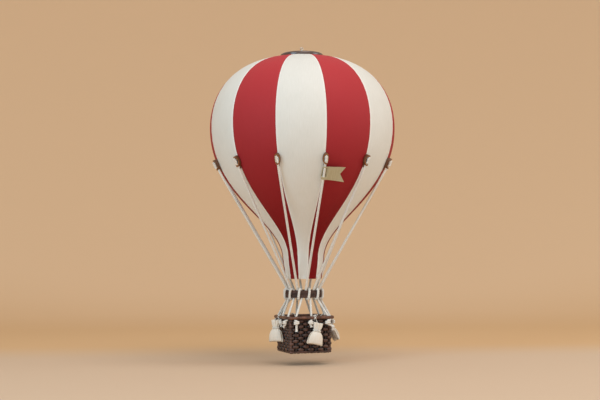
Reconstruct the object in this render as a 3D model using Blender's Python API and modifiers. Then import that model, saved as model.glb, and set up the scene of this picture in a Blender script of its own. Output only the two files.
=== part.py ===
"""A hanging model of a hot air balloon.

A moulded shell covered with twelve cotton gores hangs from an eye on its crown. Twelve cords run
from leather loops on the seams, round a load ring, to the rim of a square wicker basket with four
sand bags. The origin is where the hanging thread bears in the eye, and everything is below it.
The basket's sides face the X and Y axes, with its front towards -Y. Lengths are in metres.
"""

import math
from dataclasses import dataclass

import bmesh
import bpy
from mathutils import Matrix, Vector

# Clearance that touching pieces keep
GAP = 0.0003

# Envelope: its outline is given from the widest level, upwards and downwards
ENVELOPE_RADIUS = 0.1000
EQUATOR_Z = -0.0882
CROWN_RADIUS = 0.0165
CROWN_RISE = 0.0776
CROWN_SLOPE = 0.050
CROWN_HANDLE = 0.0605
UPPER_HANDLE = 0.0365
LOWER_HANDLE = 0.0752
NECK_HANDLE = 0.0412
NECK_RADIUS = 0.0225
NECK_DROP = 0.1415
MOUTH_RADIUS = 0.0192
MOUTH_DROP = 0.1627
UPPER_STEPS = 8
LOWER_STEPS = 9
NECK_STEPS = 2
SHELL_WALL = 0.0016
FABRIC_THICKNESS = 0.0005

# Gores and seams. The envelope and the ring hang turned a little from the basket
GORES = 12
GORE_ANGLE = 2 * math.pi / GORES
STEPS_PER_GORE = 3
SEAM_GAP = math.radians(0.3)
FIRST_SEAM = math.radians(-120)
ENVELOPE_TWIST = math.radians(-3.8)
RING_TWIST = math.radians(-2.0)

# Crown disc and hanging eye
DISC_RADIUS = 0.0234
DISC_TOP_RISE = 0.0815
DISC_EDGE = 0.0022
DISC_CHAMFER = 0.0003
DISC_BORE = 0.0010
EYE_RADIUS = 0.0014
EYE_WIRE = 0.00045
STEM_RADIUS = 0.0006
COLLAR_RADIUS = 0.0014
COLLAR_HEIGHT = 0.0006
STEM_END_LIFT = 0.0010

# Leather loops on the seams
LOOP_SHARE = 0.199
LOOP_HALF_WIDTH = 0.0024
LOOP_HALF_HEIGHT = 0.0052
LOOP_THICKNESS = 0.0012
LOOP_END_DEPTH = 0.0048
LOOP_MIDDLE_DEPTH = 0.0032
LOOP_POINTS = 18
LOOP_TAB = (0.0028, 0.0042, 0.0006)
LOOP_BORE_LIFT = GAP + LOOP_END_DEPTH / 2

# Suspension cords
CORD_RADIUS = 0.00115
LOOP_KNOT_RADIUS = 0.0013
LOOP_KNOT_HALF = 0.0038
LOOP_KNOT_LIFT = 0.0042
LOOP_KNOT_ROWS = ((0.95, 0.7), (0.5, 1), (0, 1), (-0.5, 1))
LOOP_KNOT_END = -1.1
CORD_START_DROP = 0.0080
HOLE_RADIUS = CORD_RADIUS + 1.5 * GAP

# Load ring: a coil of rods, with each cord wound once round it from its top
RING_RADIUS = 0.0198
RING_RODS = 5
ROD_RADIUS = 0.0008
ROD_STEP = 0.00158
RING_TOP_Z = EQUATOR_Z - 0.1750
RING_BOTTOM_Z = RING_TOP_Z - (RING_RODS - 1) * ROD_STEP - 2 * ROD_RADIUS
HITCH_ARRIVAL = 150
HITCH_LEAVING = 564
HITCH_SPREAD = 0.0035

# Basket and rim
BASKET_HALF = 0.0235
BASKET_WALL = 0.0026
BASKET_CORNER = 0.0030
BASKET_BOTTOM_Z = EQUATOR_Z - 0.2414
RIM_HALF = 0.02415
RIM_ROD_RADIUS = 0.0017
RIM_ROD_OFFSET = 0.00115
RIM_CORNER = 0.0055
RIM_Z = EQUATOR_Z - 0.2039
RIM_UNDERSIDE_Z = RIM_Z - RIM_ROD_RADIUS
WALL_TOP_Z = RIM_UNDERSIDE_Z - GAP
CORD_PLACES = (-0.0170, 0.0005, 0.0200)
CROSSING_DEPTH = 0.0246
CORD_EXIT_SHARE = 0.12
HOLE_LENGTH = 0.0080

# Knots under the rim: one section a row, as drop below the rim and share of the knot's radius
RIM_KNOT_RADIUS = 0.0026
RIM_KNOT_DEPTH = 0.0272
RIM_KNOT_ROWS = ((0.0020, 0.75), (0.0031, 1.0), (0.0045, 0.85))
LAST_KNOT_SHIFT = -0.0020
TAIL_START_DROP = 0.0056
STRAIGHT_TAIL_DROP = 0.0128
SIDE_TAIL_DROP = 0.0080
TAIL_SWELL = 1.2

# Sand bags: one section a row, as height from the bottom, half width and half depth
BAG_SECTIONS = (
    (0.0243, 0.0040, 0.0018),
    (0.0236, 0.0048, 0.0026),
    (0.0205, 0.0046, 0.0026),
    (0.0178, 0.0040, 0.0024),
    (0.0160, 0.0034, 0.0021),
    (0.0150, 0.0034, 0.0021),
    (0.0138, 0.0045, 0.0030),
    (0.0118, 0.0068, 0.0042),
    (0.0085, 0.0084, 0.0049),
    (0.0045, 0.0087, 0.0048),
    (0.0016, 0.0086, 0.0034),
    (0.0004, 0.0078, 0.0018),
)
BAG_SIDES = 14
BAG_NECK_HEIGHT = 0.0155
BAG_NECK_SIZE = (0.0034, 0.0021)

# Strings: a turn round the bag's neck, a run up behind its ruffle, and a turn round the rim
STRING_RADIUS = 0.00045
STRING_STEP = 0.0013
STRING_RUN = ((0.0033, 0.0025), (0.0033, 0.0080))
NECK_TURN_START = math.radians(80)
NECK_TURN = math.radians(-340)
NECK_TURN_POINTS = 10
NECK_TURN_DROP = 0.0005
NECK_TURN_RISE = 0.0012
RIM_TURN_START = math.radians(-35)
RIM_TURN = math.radians(280)
RIM_TURN_POINTS = 12
RIM_TURN_RADIUS = RIM_ROD_OFFSET + RIM_ROD_RADIUS + 1.5 * GAP + STRING_RADIUS
SLOT_SIZE = (0.0029, 0.0120, 0.0040)

# Flag on one of the cords: its outline across and down from the top of the hoist
FLAG_CORD = 1
FLAG_START = 0.0002
FLAG_OUTLINE = (
    (-0.0018, 0.0000),
    (0.0216, 0.0006),
    (0.0168, 0.0080),
    (0.0221, 0.0169),
    (-0.0028, 0.0142),
)
FLAG_THICKNESS = 0.0005
SLEEVE_START = 0.0008
SLEEVE_LENGTH = 0.0126
BORE_EXTRA = 0.0020


@dataclass(frozen=True)
class Side:
    """One side of the basket, with its sand bag, its middle knot and its last cord's tail."""

    name: str
    turn: float
    string_place: float
    bag_place: float
    bag_depth: float
    bag_bottom: float
    bag_lean: float
    bag_turn: float
    bag_swing: float
    middle_knot: float
    last_tail: float


SIDES = (
    Side("front", 0, 0.0030, 0.0017, 0.0293, -0.3210, 12, 0, 0, -0.0034, 0.0060),
    Side("right", 90, 0.0030, 0.0020, 0.0293, -0.3226, 10, 0, 19, -0.0034, 0.0050),
    Side("back", 180, 0.0030, 0.0017, 0.0293, -0.3210, 12, 0, 0, -0.0034, 0.0060),
    Side("left", 270, -0.0030, -0.0022, 0.0308, -0.3190, -2, 40, 0, 0.0034, -0.0050),
)


def linear(hex_colour):
    """Turn an sRGB hex colour into the linear RGBA of a shader socket."""
    levels = [int(hex_colour[i:i + 2], 16) / 255 for i in (1, 3, 5)]
    return [v / 12.92 if v <= 0.04045 else ((v + 0.055) / 1.055) ** 2.4 for v in levels] + [1]


def material(name, hex_colour, roughness, metallic=0.0):
    """A plain material with one colour."""
    made = bpy.data.materials.new(name)
    made.use_nodes = True
    shader = made.node_tree.nodes["Principled BSDF"]
    shader.inputs["Base Color"].default_value = linear(hex_colour)
    shader.inputs["Roughness"].default_value = roughness
    shader.inputs["Metallic"].default_value = metallic
    made.diffuse_color = linear(hex_colour)
    return made


def collection(name):
    """A new collection in the scene."""
    made = bpy.data.collections.new(name)
    bpy.context.scene.collection.children.link(made)
    return made


def add_object(name, data, finish, place=None):
    """An object of the balloon, with its one material."""
    made = bpy.data.objects.new(name, data)
    PARTS.objects.link(made)
    if not data.materials:
        data.materials.append(finish)
    if place is not None:
        made.matrix_world = place
    return made


def add_cutter(name, mesh):
    """An object that only cuts others."""
    made = bpy.data.objects.new(name, mesh)
    CUTTERS.objects.link(made)
    made.hide_render = True
    made.display_type = "WIRE"
    return made


def mesh_from(bm, name, smooth=True):
    """Turn a bmesh into a mesh, smooth but for its sharp edges."""
    mesh = bpy.data.meshes.new(name)
    bm.to_mesh(mesh)
    bm.free()
    if smooth:
        mesh.shade_smooth()
        mesh.set_sharp_from_angle(angle=math.radians(40))
    return mesh


def outline_mesh(name, points, closed=False):
    """A mesh of edges in the XZ plane, for a Screw modifier."""
    mesh = bpy.data.meshes.new(name)
    edges = [(i, i + 1) for i in range(len(points) - 1)]
    if closed:
        edges.append((len(points) - 1, 0))
    mesh.from_pydata([(r, 0, z) for r, z in points], edges, [])
    return mesh


def turn(obj, angle=2 * math.pi, steps=36):
    """Turn an object's outline about Z."""
    screw = obj.modifiers.new("Turned", "SCREW")
    screw.angle = angle
    screw.steps = steps
    screw.render_steps = steps
    screw.use_merge_vertices = True
    screw.merge_threshold = 0.00001
    screw.use_smooth_shade = True
    return screw


def thicken(obj, thickness):
    """Give an open surface its wall, on the inner side."""
    wall = obj.modifiers.new("Wall", "SOLIDIFY")
    wall.thickness = thickness
    wall.offset = -1
    wall.use_even_offset = True
    return wall


def boolean(obj, other, operation):
    """Join or cut an object with another."""
    made = obj.modifiers.new(operation.title(), "BOOLEAN")
    made.operation = operation
    made.solver = "EXACT"
    made.object = other
    return made


def tube_curve(name, points, radius, swell=None, cyclic=False):
    """A curve with a round bevel, whose radius may swell along it."""
    curve = bpy.data.curves.new(name, "CURVE")
    curve.dimensions = "3D"
    curve.bevel_depth = radius
    curve.bevel_resolution = 2
    curve.use_fill_caps = True
    spline = curve.splines.new("POLY")
    spline.points.add(len(points) - 1)
    spline.use_cyclic_u = cyclic
    for i, (point, place) in enumerate(zip(spline.points, points)):
        point.co = (*place, 1)
        point.radius = swell[i] if swell else 1
    return curve


def mesh_of(obj):
    """The evaluated mesh of a curve object, welded, in place of the object."""
    bpy.context.view_layer.update()
    evaluated = obj.evaluated_get(bpy.context.evaluated_depsgraph_get())
    mesh = bpy.data.meshes.new_from_object(evaluated)
    bm = bmesh.new()
    bm.from_mesh(mesh)
    bmesh.ops.remove_doubles(bm, verts=bm.verts, dist=0.000001)
    bm.to_mesh(mesh)
    bm.free()
    bpy.data.objects.remove(obj)
    return mesh


def bezier(start, start_handle, end_handle, end, steps):
    """Points along a cubic curve, without its first one."""
    points = []
    for i in range(1, steps + 1):
        t = i / steps
        s = 1 - t
        weights = (s ** 3, 3 * s * s * t, 3 * s * t * t, t ** 3)
        ends = (start, start_handle, end_handle, end)
        points.append(tuple(sum(w * p[k] for w, p in zip(weights, ends)) for k in (0, 1)))
    return points


def lower_curve():
    """The four control points of the envelope's lower outline."""
    return (
        (ENVELOPE_RADIUS, EQUATOR_Z),
        (ENVELOPE_RADIUS, EQUATOR_Z - LOWER_HANDLE),
        (NECK_RADIUS, EQUATOR_Z - NECK_DROP + NECK_HANDLE),
        (NECK_RADIUS, EQUATOR_Z - NECK_DROP),
    )


def envelope_outline():
    """The outside of the fabric from the crown's edge to the mouth, as radius and height."""
    crown = (CROWN_RADIUS, EQUATOR_Z + CROWN_RISE)
    crown_handle = (
        CROWN_RADIUS + CROWN_HANDLE * math.cos(CROWN_SLOPE),
        EQUATOR_Z + CROWN_RISE - CROWN_HANDLE * math.sin(CROWN_SLOPE),
    )
    equator = (ENVELOPE_RADIUS, EQUATOR_Z)
    equator_handle = (ENVELOPE_RADIUS, EQUATOR_Z + UPPER_HANDLE)
    points = [crown]
    points += bezier(crown, crown_handle, equator_handle, equator, UPPER_STEPS)
    points += bezier(*lower_curve(), LOWER_STEPS)
    for i in range(1, NECK_STEPS + 1):
        share = i / NECK_STEPS
        radius = NECK_RADIUS + share * (MOUTH_RADIUS - NECK_RADIUS)
        drop = NECK_DROP + share * (MOUTH_DROP - NECK_DROP)
        points.append((radius, EQUATOR_Z - drop))
    return points


def inset(points, distance):
    """An outline moved inwards, square to itself."""
    moved = []
    for i, (radius, height) in enumerate(points):
        before = Vector(points[max(i - 1, 0)])
        after = Vector(points[min(i + 1, len(points) - 1)])
        along = (after - before).normalized()
        moved.append((radius + along.y * distance, height - along.x * distance))
    return moved


def make_shell(finish):
    """The moulded shell under the fabric, closed at the crown and open at the mouth."""
    outline = inset(envelope_outline(), FABRIC_THICKNESS + GAP)
    top = (0, outline[0][1] + CROWN_RADIUS * CROWN_SLOPE / 2)
    shell = add_object("envelope_shell", outline_mesh("envelope_shell", [top] + outline), finish)
    shell.rotation_euler.z = FIRST_SEAM + ENVELOPE_TWIST
    turn(shell, steps=GORES * STEPS_PER_GORE)
    thicken(shell, SHELL_WALL)


def make_gores(finishes):
    """The twelve cotton gores, white and red in turn, each from seam to seam."""
    meshes = [outline_mesh(f"gore_{finish.name}", envelope_outline()) for finish in finishes]
    for i in range(GORES):
        kind = i % 2
        name = f"gore_{i + 1:02d}_{('white', 'red')[kind]}"
        gore = add_object(name, meshes[kind], finishes[kind])
        start = FIRST_SEAM + ENVELOPE_TWIST + i * GORE_ANGLE
        gore.rotation_euler.z = start + SEAM_GAP / 2
        turn(gore, GORE_ANGLE - SEAM_GAP, STEPS_PER_GORE)
        thicken(gore, FABRIC_THICKNESS)


def make_crown_disc(finish):
    """The rounded disc that covers the tops of the gores, bored for the eye's stem."""
    top = EQUATOR_Z + DISC_TOP_RISE
    crown_z = EQUATOR_Z + CROWN_RISE + GAP
    edge_z = crown_z - (DISC_RADIUS - CROWN_RADIUS) * CROWN_SLOPE
    middle_z = crown_z + CROWN_RADIUS * CROWN_SLOPE / 2
    points = [(DISC_BORE, top)]
    for i in range(5):
        angle = i / 4 * math.pi / 2
        radius = DISC_RADIUS - DISC_EDGE * (1 - math.sin(angle))
        points.append((radius, top - DISC_CHAMFER - DISC_EDGE * (1 - math.cos(angle))))
    points.append((DISC_RADIUS - DISC_CHAMFER, edge_z))
    points += [(CROWN_RADIUS, crown_z), (DISC_BORE, middle_z)]
    disc = add_object("crown_disc", outline_mesh("crown_disc", points, closed=True), finish)
    turn(disc, steps=48)


def cylinder(bm, radius, top, bottom, sides=16):
    """Add an upright cylinder between two heights."""
    middle = Matrix.Translation((0, 0, (top + bottom) / 2))
    bmesh.ops.create_cone(
        bm, cap_ends=True, segments=sides, radius1=radius, radius2=radius,
        depth=top - bottom, matrix=middle,
    )


def make_eye(finish):
    """The small wire eye that the thread hangs the balloon by, screwed into the disc."""
    centre_z = EYE_WIRE - EYE_RADIUS
    bpy.ops.mesh.primitive_torus_add(
        major_radius=EYE_RADIUS, minor_radius=EYE_WIRE, major_segments=20, minor_segments=8,
        location=(0, 0, centre_z), rotation=(math.pi / 2, 0, 0),
    )
    eye = bpy.context.object
    eye.name = "hanging_eye"
    for old in eye.users_collection:
        old.objects.unlink(eye)
    PARTS.objects.link(eye)
    eye.data.materials.append(finish)

    disc_top = EQUATOR_Z + DISC_TOP_RISE
    bm = bmesh.new()
    cylinder(bm, STEM_RADIUS, centre_z - EYE_RADIUS, EQUATOR_Z + CROWN_RISE + STEM_END_LIFT, 12)
    boolean(eye, add_cutter("eye_stem", mesh_from(bm, "eye_stem")), "UNION")
    bm = bmesh.new()
    cylinder(bm, COLLAR_RADIUS, disc_top + GAP + COLLAR_HEIGHT, disc_top + GAP)
    boolean(eye, add_cutter("eye_collar", mesh_from(bm, "eye_collar")), "UNION")


def seam_angle(i):
    """The angle of a seam about Z."""
    return FIRST_SEAM + ENVELOPE_TWIST + i * GORE_ANGLE


def around(angle, radius, height):
    """A point at an angle about Z."""
    return Vector((radius * math.cos(angle), radius * math.sin(angle), height))


def loop_frame(i):
    """Where a leather loop sits: X along the seam's level, Y up the fabric, Z out of it."""
    start, start_handle, end_handle, end = (Vector(p) for p in lower_curve())
    t = LOOP_SHARE
    s = 1 - t
    spot = s ** 3 * start + 3 * s * s * t * start_handle + 3 * s * t * t * end_handle + t ** 3 * end
    slope = (
        s * s * (start_handle - start)
        + 2 * s * t * (end_handle - start_handle)
        + t * t * (end - end_handle)
    ).normalized()
    angle = seam_angle(i)
    up = around(angle, -slope.x, -slope.y)
    out = around(angle, -slope.y, slope.x)
    across = up.cross(out)
    frame = Matrix((across, up, out)).transposed().to_4x4()
    frame.translation = around(angle, spot.x, spot.y)
    return frame


def loop_mesh(finish):
    """A closed leather band that stands on its seam, bored below for its cord, and its tab."""
    bm = bmesh.new()
    back = []
    front = []
    for i in range(LOOP_POINTS):
        angle = -2 * math.pi * i / LOOP_POINTS
        x = LOOP_HALF_WIDTH * math.sin(angle)
        y = LOOP_HALF_HEIGHT * math.cos(angle)
        rise = math.cos(angle) ** 2
        depth = LOOP_MIDDLE_DEPTH + (LOOP_END_DEPTH - LOOP_MIDDLE_DEPTH) * rise
        back.append(bm.verts.new((x, y, GAP)))
        front.append(bm.verts.new((x, y, GAP + depth)))
    for i in range(LOOP_POINTS):
        bm.faces.new((back[i - 1], back[i], front[i], front[i - 1]))
    band = bpy.data.objects.new("loop_guide", mesh_from(bm, "leather_loop"))
    band.data.materials.append(finish)
    CUTTERS.objects.link(band)
    thicken(band, LOOP_THICKNESS).offset = 0

    bm = bmesh.new()
    end = Vector((0, -LOOP_HALF_HEIGHT, 0))
    size = Matrix.Diagonal((*LOOP_TAB, 1))
    middle = end + Vector((0, (LOOP_THICKNESS - LOOP_TAB[1]) / 2, GAP + LOOP_TAB[2] / 2))
    bmesh.ops.create_cube(bm, size=1, matrix=Matrix.Translation(middle) @ size)
    boolean(band, add_cutter("loop_tab", mesh_from(bm, "loop_tab", smooth=False)), "UNION")
    bm = bmesh.new()
    middle = end + Vector((0, 0, LOOP_BORE_LIFT))
    lengthwise = Matrix.Rotation(math.pi / 2, 4, "X")
    bmesh.ops.create_cone(
        bm, cap_ends=True, segments=12, radius1=HOLE_RADIUS, radius2=HOLE_RADIUS,
        depth=4 * LOOP_THICKNESS, matrix=Matrix.Translation(middle) @ lengthwise,
    )
    boolean(band, add_cutter("loop_bore", mesh_from(bm, "loop_bore")), "DIFFERENCE")
    return mesh_of(band)


def make_loops(finish):
    """The leather loops on the seams."""
    mesh = loop_mesh(finish)
    for i in range(GORES):
        add_object(f"leather_loop_{i + 1:02d}", mesh, finish, loop_frame(i))


def on_side(side, place, depth, height):
    """A point by a side of the basket: along it, out from the middle, and its height."""
    return Matrix.Rotation(math.radians(side.turn), 3, "Z") @ Vector((place, -depth, height))


def hitch(i):
    """A cord's turn round the ring: in over its top, under, up outside, over and down inside."""
    top = RING_TOP_Z - ROD_RADIUS
    bottom = RING_BOTTOM_Z + ROD_RADIUS
    rounds = [(top, HITCH_ARRIVAL), (top, 180)]
    rounds += [(bottom, degrees) for degrees in range(180, 361, 30)]
    rounds += [(top, degrees) for degrees in range(360, 541, 30)]
    rounds += [(bottom, 540), (bottom, HITCH_LEAVING)]
    reach = ROD_RADIUS + GAP + CORD_RADIUS
    path = []
    for height, degrees in rounds:
        turned = math.radians(degrees)
        radius = RING_RADIUS - ROD_RADIUS + reach * math.cos(turned)
        path.append(Vector((radius, height + reach * math.sin(turned))))

    angle = FIRST_SEAM + RING_TWIST + i * GORE_ANGLE
    along = Vector((-math.sin(angle), math.cos(angle), 0))
    steps = [0] + [(after - before).length for before, after in zip(path, path[1:])]
    points = []
    for k, spot in enumerate(path):
        share = sum(steps[:k + 1]) / sum(steps)
        points.append(around(angle, spot.x, spot.y) + along * (share - 0.5) * HITCH_SPREAD)
    return points


def leg_ends(i):
    """Where a cord's lower leg leaves the ring, and where it crosses the rim."""
    return hitch(i)[-1], on_side(SIDES[i // 3], CORD_PLACES[i % 3], CROSSING_DEPTH, RIM_Z)


def upper_run(i):
    """A cord's knot in its loop, and the start and end of its straight run to the ring."""
    frame = loop_frame(i)
    heights = [share * LOOP_KNOT_HALF for share, _ in LOOP_KNOT_ROWS]
    knot = [frame @ Vector((0, height, LOOP_KNOT_LIFT)) for height in heights]
    knot.append(frame @ Vector((0, LOOP_KNOT_END * LOOP_KNOT_HALF, LOOP_BORE_LIFT)))
    return knot, frame @ Vector((0, -CORD_START_DROP, LOOP_BORE_LIFT)), hitch(i)[0]


def rim_part(i):
    """A cord's knot under the rim and its tail, with how much each point swells."""
    side = SIDES[i // 3]
    kind = i % 3
    place = (CORD_PLACES[0], side.middle_knot, CORD_PLACES[2] + LAST_KNOT_SHIFT)[kind]
    rows = []
    for drop, share in RIM_KNOT_ROWS:
        rows.append((place, RIM_KNOT_DEPTH, drop, share * RIM_KNOT_RADIUS / CORD_RADIUS))
    rows.append((place, RIM_KNOT_DEPTH - 2 * GAP, TAIL_START_DROP, 1))
    if kind == 0:
        rows.append((place, RIM_KNOT_DEPTH - 4 * GAP, STRAIGHT_TAIL_DROP, TAIL_SWELL))
    elif kind == 2:
        rows.append((place + side.last_tail, RIM_KNOT_DEPTH - 2 * GAP, SIDE_TAIL_DROP, TAIL_SWELL))
    points = [on_side(side, p, depth, RIM_UNDERSIDE_Z - drop) for p, depth, drop, _ in rows]
    return points, [row[3] for row in rows]


def make_cords(finish):
    """The twelve cords from the leather loops, round the ring, to their knots under the rim."""
    fat = LOOP_KNOT_RADIUS / CORD_RADIUS
    for i in range(GORES):
        knot, start, _ = upper_run(i)
        leave, cross = leg_ends(i)
        points = knot + [start] + hitch(i) + [cross, cross.lerp(leave, -CORD_EXIT_SHARE)]
        swell = [share * fat for _, share in LOOP_KNOT_ROWS]
        swell += [1] * (len(points) - len(swell))
        tail, tail_swell = rim_part(i)
        curve = tube_curve(f"cord_{i + 1:02d}", points + tail, CORD_RADIUS, swell + tail_swell)
        add_object(f"suspension_cord_{i + 1:02d}", curve, finish)


def make_ring(finish):
    """The load ring between the mouth and the basket, a stack of rods bound as one."""
    middle = RING_RADIUS - ROD_RADIUS
    heights = [RING_BOTTOM_Z + ROD_RADIUS + k * ROD_STEP for k in range(RING_RODS)]
    rounds = [(height, degrees) for height in reversed(heights) for degrees in (45, 0, -45)]
    rounds += [(heights[0], -90)]
    rounds += [(height, degrees) for height in heights for degrees in (-135, -180, -225)]
    rounds += [(heights[-1], -270)]
    points = []
    for height, degrees in rounds:
        angle = math.radians(degrees)
        points.append((middle + ROD_RADIUS * math.cos(angle), height + ROD_RADIUS * math.sin(angle)))
    ring = add_object("load_ring", outline_mesh("load_ring", points, closed=True), finish)
    turn(ring, steps=36)


def rounded_square(half, corner, height, steps=4):
    """Points round a square with round corners, counter-clockwise."""
    points = []
    for k, (x, y) in enumerate(((1, 1), (-1, 1), (-1, -1), (1, -1))):
        for i in range(steps + 1):
            angle = math.pi / 2 * (k + i / steps)
            points.append((
                x * (half - corner) + corner * math.cos(angle),
                y * (half - corner) + corner * math.sin(angle),
                height,
            ))
    return points


def string_slots():
    """A cutter for the notches that let the bags' strings pass under the rim."""
    bm = bmesh.new()
    bottom = RIM_Z - RIM_TURN_RADIUS - STRING_RADIUS - GAP
    for side in SIDES:
        middle = side.string_place + STRING_STEP / 2
        spot = on_side(side, middle, BASKET_HALF, bottom + SLOT_SIZE[2] / 2)
        size = Matrix.Diagonal((*SLOT_SIZE, 1))
        turned = Matrix.Rotation(math.radians(side.turn), 4, "Z")
        bmesh.ops.create_cube(bm, size=1, matrix=Matrix.Translation(spot) @ turned @ size)
    return add_cutter("string_slots", mesh_from(bm, "string_slots", smooth=False))


def make_basket(finish):
    """The basket's four walls and floor, as one wicker shell notched for the bags' strings."""
    height = WALL_TOP_Z - BASKET_BOTTOM_Z
    middle = (WALL_TOP_Z + BASKET_BOTTOM_Z) / 2
    bm = bmesh.new()
    size = Matrix.Diagonal((2 * BASKET_HALF, 2 * BASKET_HALF, height, 1))
    bmesh.ops.create_cube(bm, size=1, matrix=Matrix.Translation((0, 0, middle)) @ size)
    upright = [e for e in bm.edges if abs(e.verts[0].co.z - e.verts[1].co.z) > height / 2]
    bmesh.ops.bevel(bm, geom=upright, offset=BASKET_CORNER, segments=3, profile=0.5, affect="EDGES")
    top = [f for f in bm.faces if f.normal.z > 0.9]
    bmesh.ops.delete(bm, geom=top, context="FACES_ONLY")
    basket = add_object("basket_body", mesh_from(bm, "basket_body"), finish)
    thicken(basket, BASKET_WALL)
    boolean(basket, string_slots(), "DIFFERENCE")


def cord_holes():
    """A cutter for the holes that the cords take through the rim."""
    bm = bmesh.new()
    for i in range(GORES):
        leave, cross = leg_ends(i)
        along = (cross - leave).to_track_quat("Z", "Y").to_matrix().to_4x4()
        bmesh.ops.create_cone(
            bm, cap_ends=True, segments=10, radius1=HOLE_RADIUS, radius2=HOLE_RADIUS,
            depth=HOLE_LENGTH, matrix=Matrix.Translation(cross) @ along,
        )
    return add_cutter("cord_holes", mesh_from(bm, "cord_holes"))


def rim_section():
    """The rim's section, two rods side by side, as a closed curve."""
    section = bpy.data.curves.new("rim_section", "CURVE")
    spline = section.splines.new("POLY")
    points = []
    for side, first in ((1, -120), (-1, 60)):
        for step in range(0, 241, 40):
            angle = math.radians(first + step)
            across = side * RIM_ROD_OFFSET + RIM_ROD_RADIUS * math.cos(angle)
            points.append((across, RIM_ROD_RADIUS * math.sin(angle)))
    spline.points.add(len(points) - 1)
    spline.use_cyclic_u = True
    for point, place in zip(spline.points, points):
        point.co = (*place, 0, 1)
    made = bpy.data.objects.new("rim_section", section)
    CUTTERS.objects.link(made)
    made.hide_render = True
    return made


def make_rim(finish):
    """The two thick rods round the basket's top, with the twelve holes for the cords."""
    path = rounded_square(RIM_HALF, RIM_CORNER, RIM_Z)
    curve = tube_curve("basket_rim", path, RIM_ROD_RADIUS, cyclic=True)
    curve.twist_mode = "Z_UP"
    curve.bevel_mode = "OBJECT"
    curve.bevel_object = rim_section()
    guide = bpy.data.objects.new("rim_guide", curve)
    CUTTERS.objects.link(guide)
    rim = add_object("basket_rim", mesh_of(guide), finish)
    boolean(rim, cord_holes(), "DIFFERENCE")


def swing(side):
    """The turn that holds a bag and its string out from the basket, about the rim's middle."""
    middle = Matrix.Translation((0, -RIM_HALF, RIM_Z))
    swung = middle @ Matrix.Rotation(math.radians(-side.bag_swing), 4, "X") @ middle.inverted()
    return Matrix.Rotation(math.radians(side.turn), 4, "Z") @ swung


def bag_frame(side):
    """Where a sand bag hangs: its bottom's middle, leaning along its side of the basket."""
    frame = swing(side) @ Matrix.Translation((side.bag_place, -side.bag_depth, side.bag_bottom))
    frame = frame @ Matrix.Rotation(math.radians(side.bag_lean), 4, "Y")
    return frame @ Matrix.Rotation(math.radians(side.bag_turn), 4, "Z")


def bag_mesh():
    """A filled canvas bag with its tied neck and gathered top, from a sphere's rings."""
    rings = len(BAG_SECTIONS)
    bm = bmesh.new()
    bmesh.ops.create_uvsphere(bm, u_segments=BAG_SIDES, v_segments=rings + 1, radius=1)
    for vert in bm.verts:
        ring = round(math.acos(max(-1, min(1, vert.co.z))) / math.pi * (rings + 1))
        if ring == 0:
            vert.co = (0, 0, BAG_SECTIONS[0][0])
        elif ring == rings + 1:
            vert.co = (0, 0, 0)
        else:
            height, width, depth = BAG_SECTIONS[ring - 1]
            round_part = math.hypot(vert.co.x, vert.co.y)
            vert.co = (vert.co.x / round_part * width, vert.co.y / round_part * depth, height)
    return mesh_from(bm, "sand_bag")


def string_path(side):
    """A bag's string: round its neck, up to the rim, and once round it through the notch."""
    frame = bag_frame(side)
    wide, deep = (size + 1.5 * GAP + STRING_RADIUS for size in BAG_NECK_SIZE)
    points = []
    for i in range(NECK_TURN_POINTS + 1):
        share = i / NECK_TURN_POINTS
        height = BAG_NECK_HEIGHT - NECK_TURN_DROP + share * NECK_TURN_RISE
        angle = NECK_TURN_START + share * NECK_TURN
        points.append(frame @ Vector((wide * math.cos(angle), deep * math.sin(angle), height)))
    for depth, rise in STRING_RUN:
        points.append(frame @ Vector((0, depth, BAG_NECK_HEIGHT + rise)))
    for i in range(RIM_TURN_POINTS + 1):
        share = i / RIM_TURN_POINTS
        angle = RIM_TURN_START + share * RIM_TURN
        depth = RIM_HALF + RIM_TURN_RADIUS * math.cos(angle)
        height = RIM_Z + RIM_TURN_RADIUS * math.sin(angle)
        place = side.string_place + share * STRING_STEP
        points.append(swing(side) @ Vector((place, -depth, height)))
    return points


def make_bags(canvas, twine):
    """The four sand bags and the strings that hang them from the rim."""
    mesh = bag_mesh()
    for side in SIDES:
        add_object(f"sand_bag_{side.name}", mesh, canvas, bag_frame(side))
        curve = tube_curve(f"bag_string_{side.name}", string_path(side), STRING_RADIUS)
        curve.bevel_resolution = 1
        add_object(f"bag_string_{side.name}", curve, twine)


def flag_frame():
    """The flag's place: X away from the cord, Y up along it, Z out from the envelope."""
    _, start, end = upper_run(FLAG_CORD)
    up = (start - end).normalized()
    angle = seam_angle(FLAG_CORD)
    across = Vector((-math.sin(angle), math.cos(angle), 0))
    across = (across - across.dot(up) * up).normalized()
    frame = Matrix((across, up, across.cross(up))).transposed().to_4x4()
    frame.translation = start - up * FLAG_START
    return frame


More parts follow.
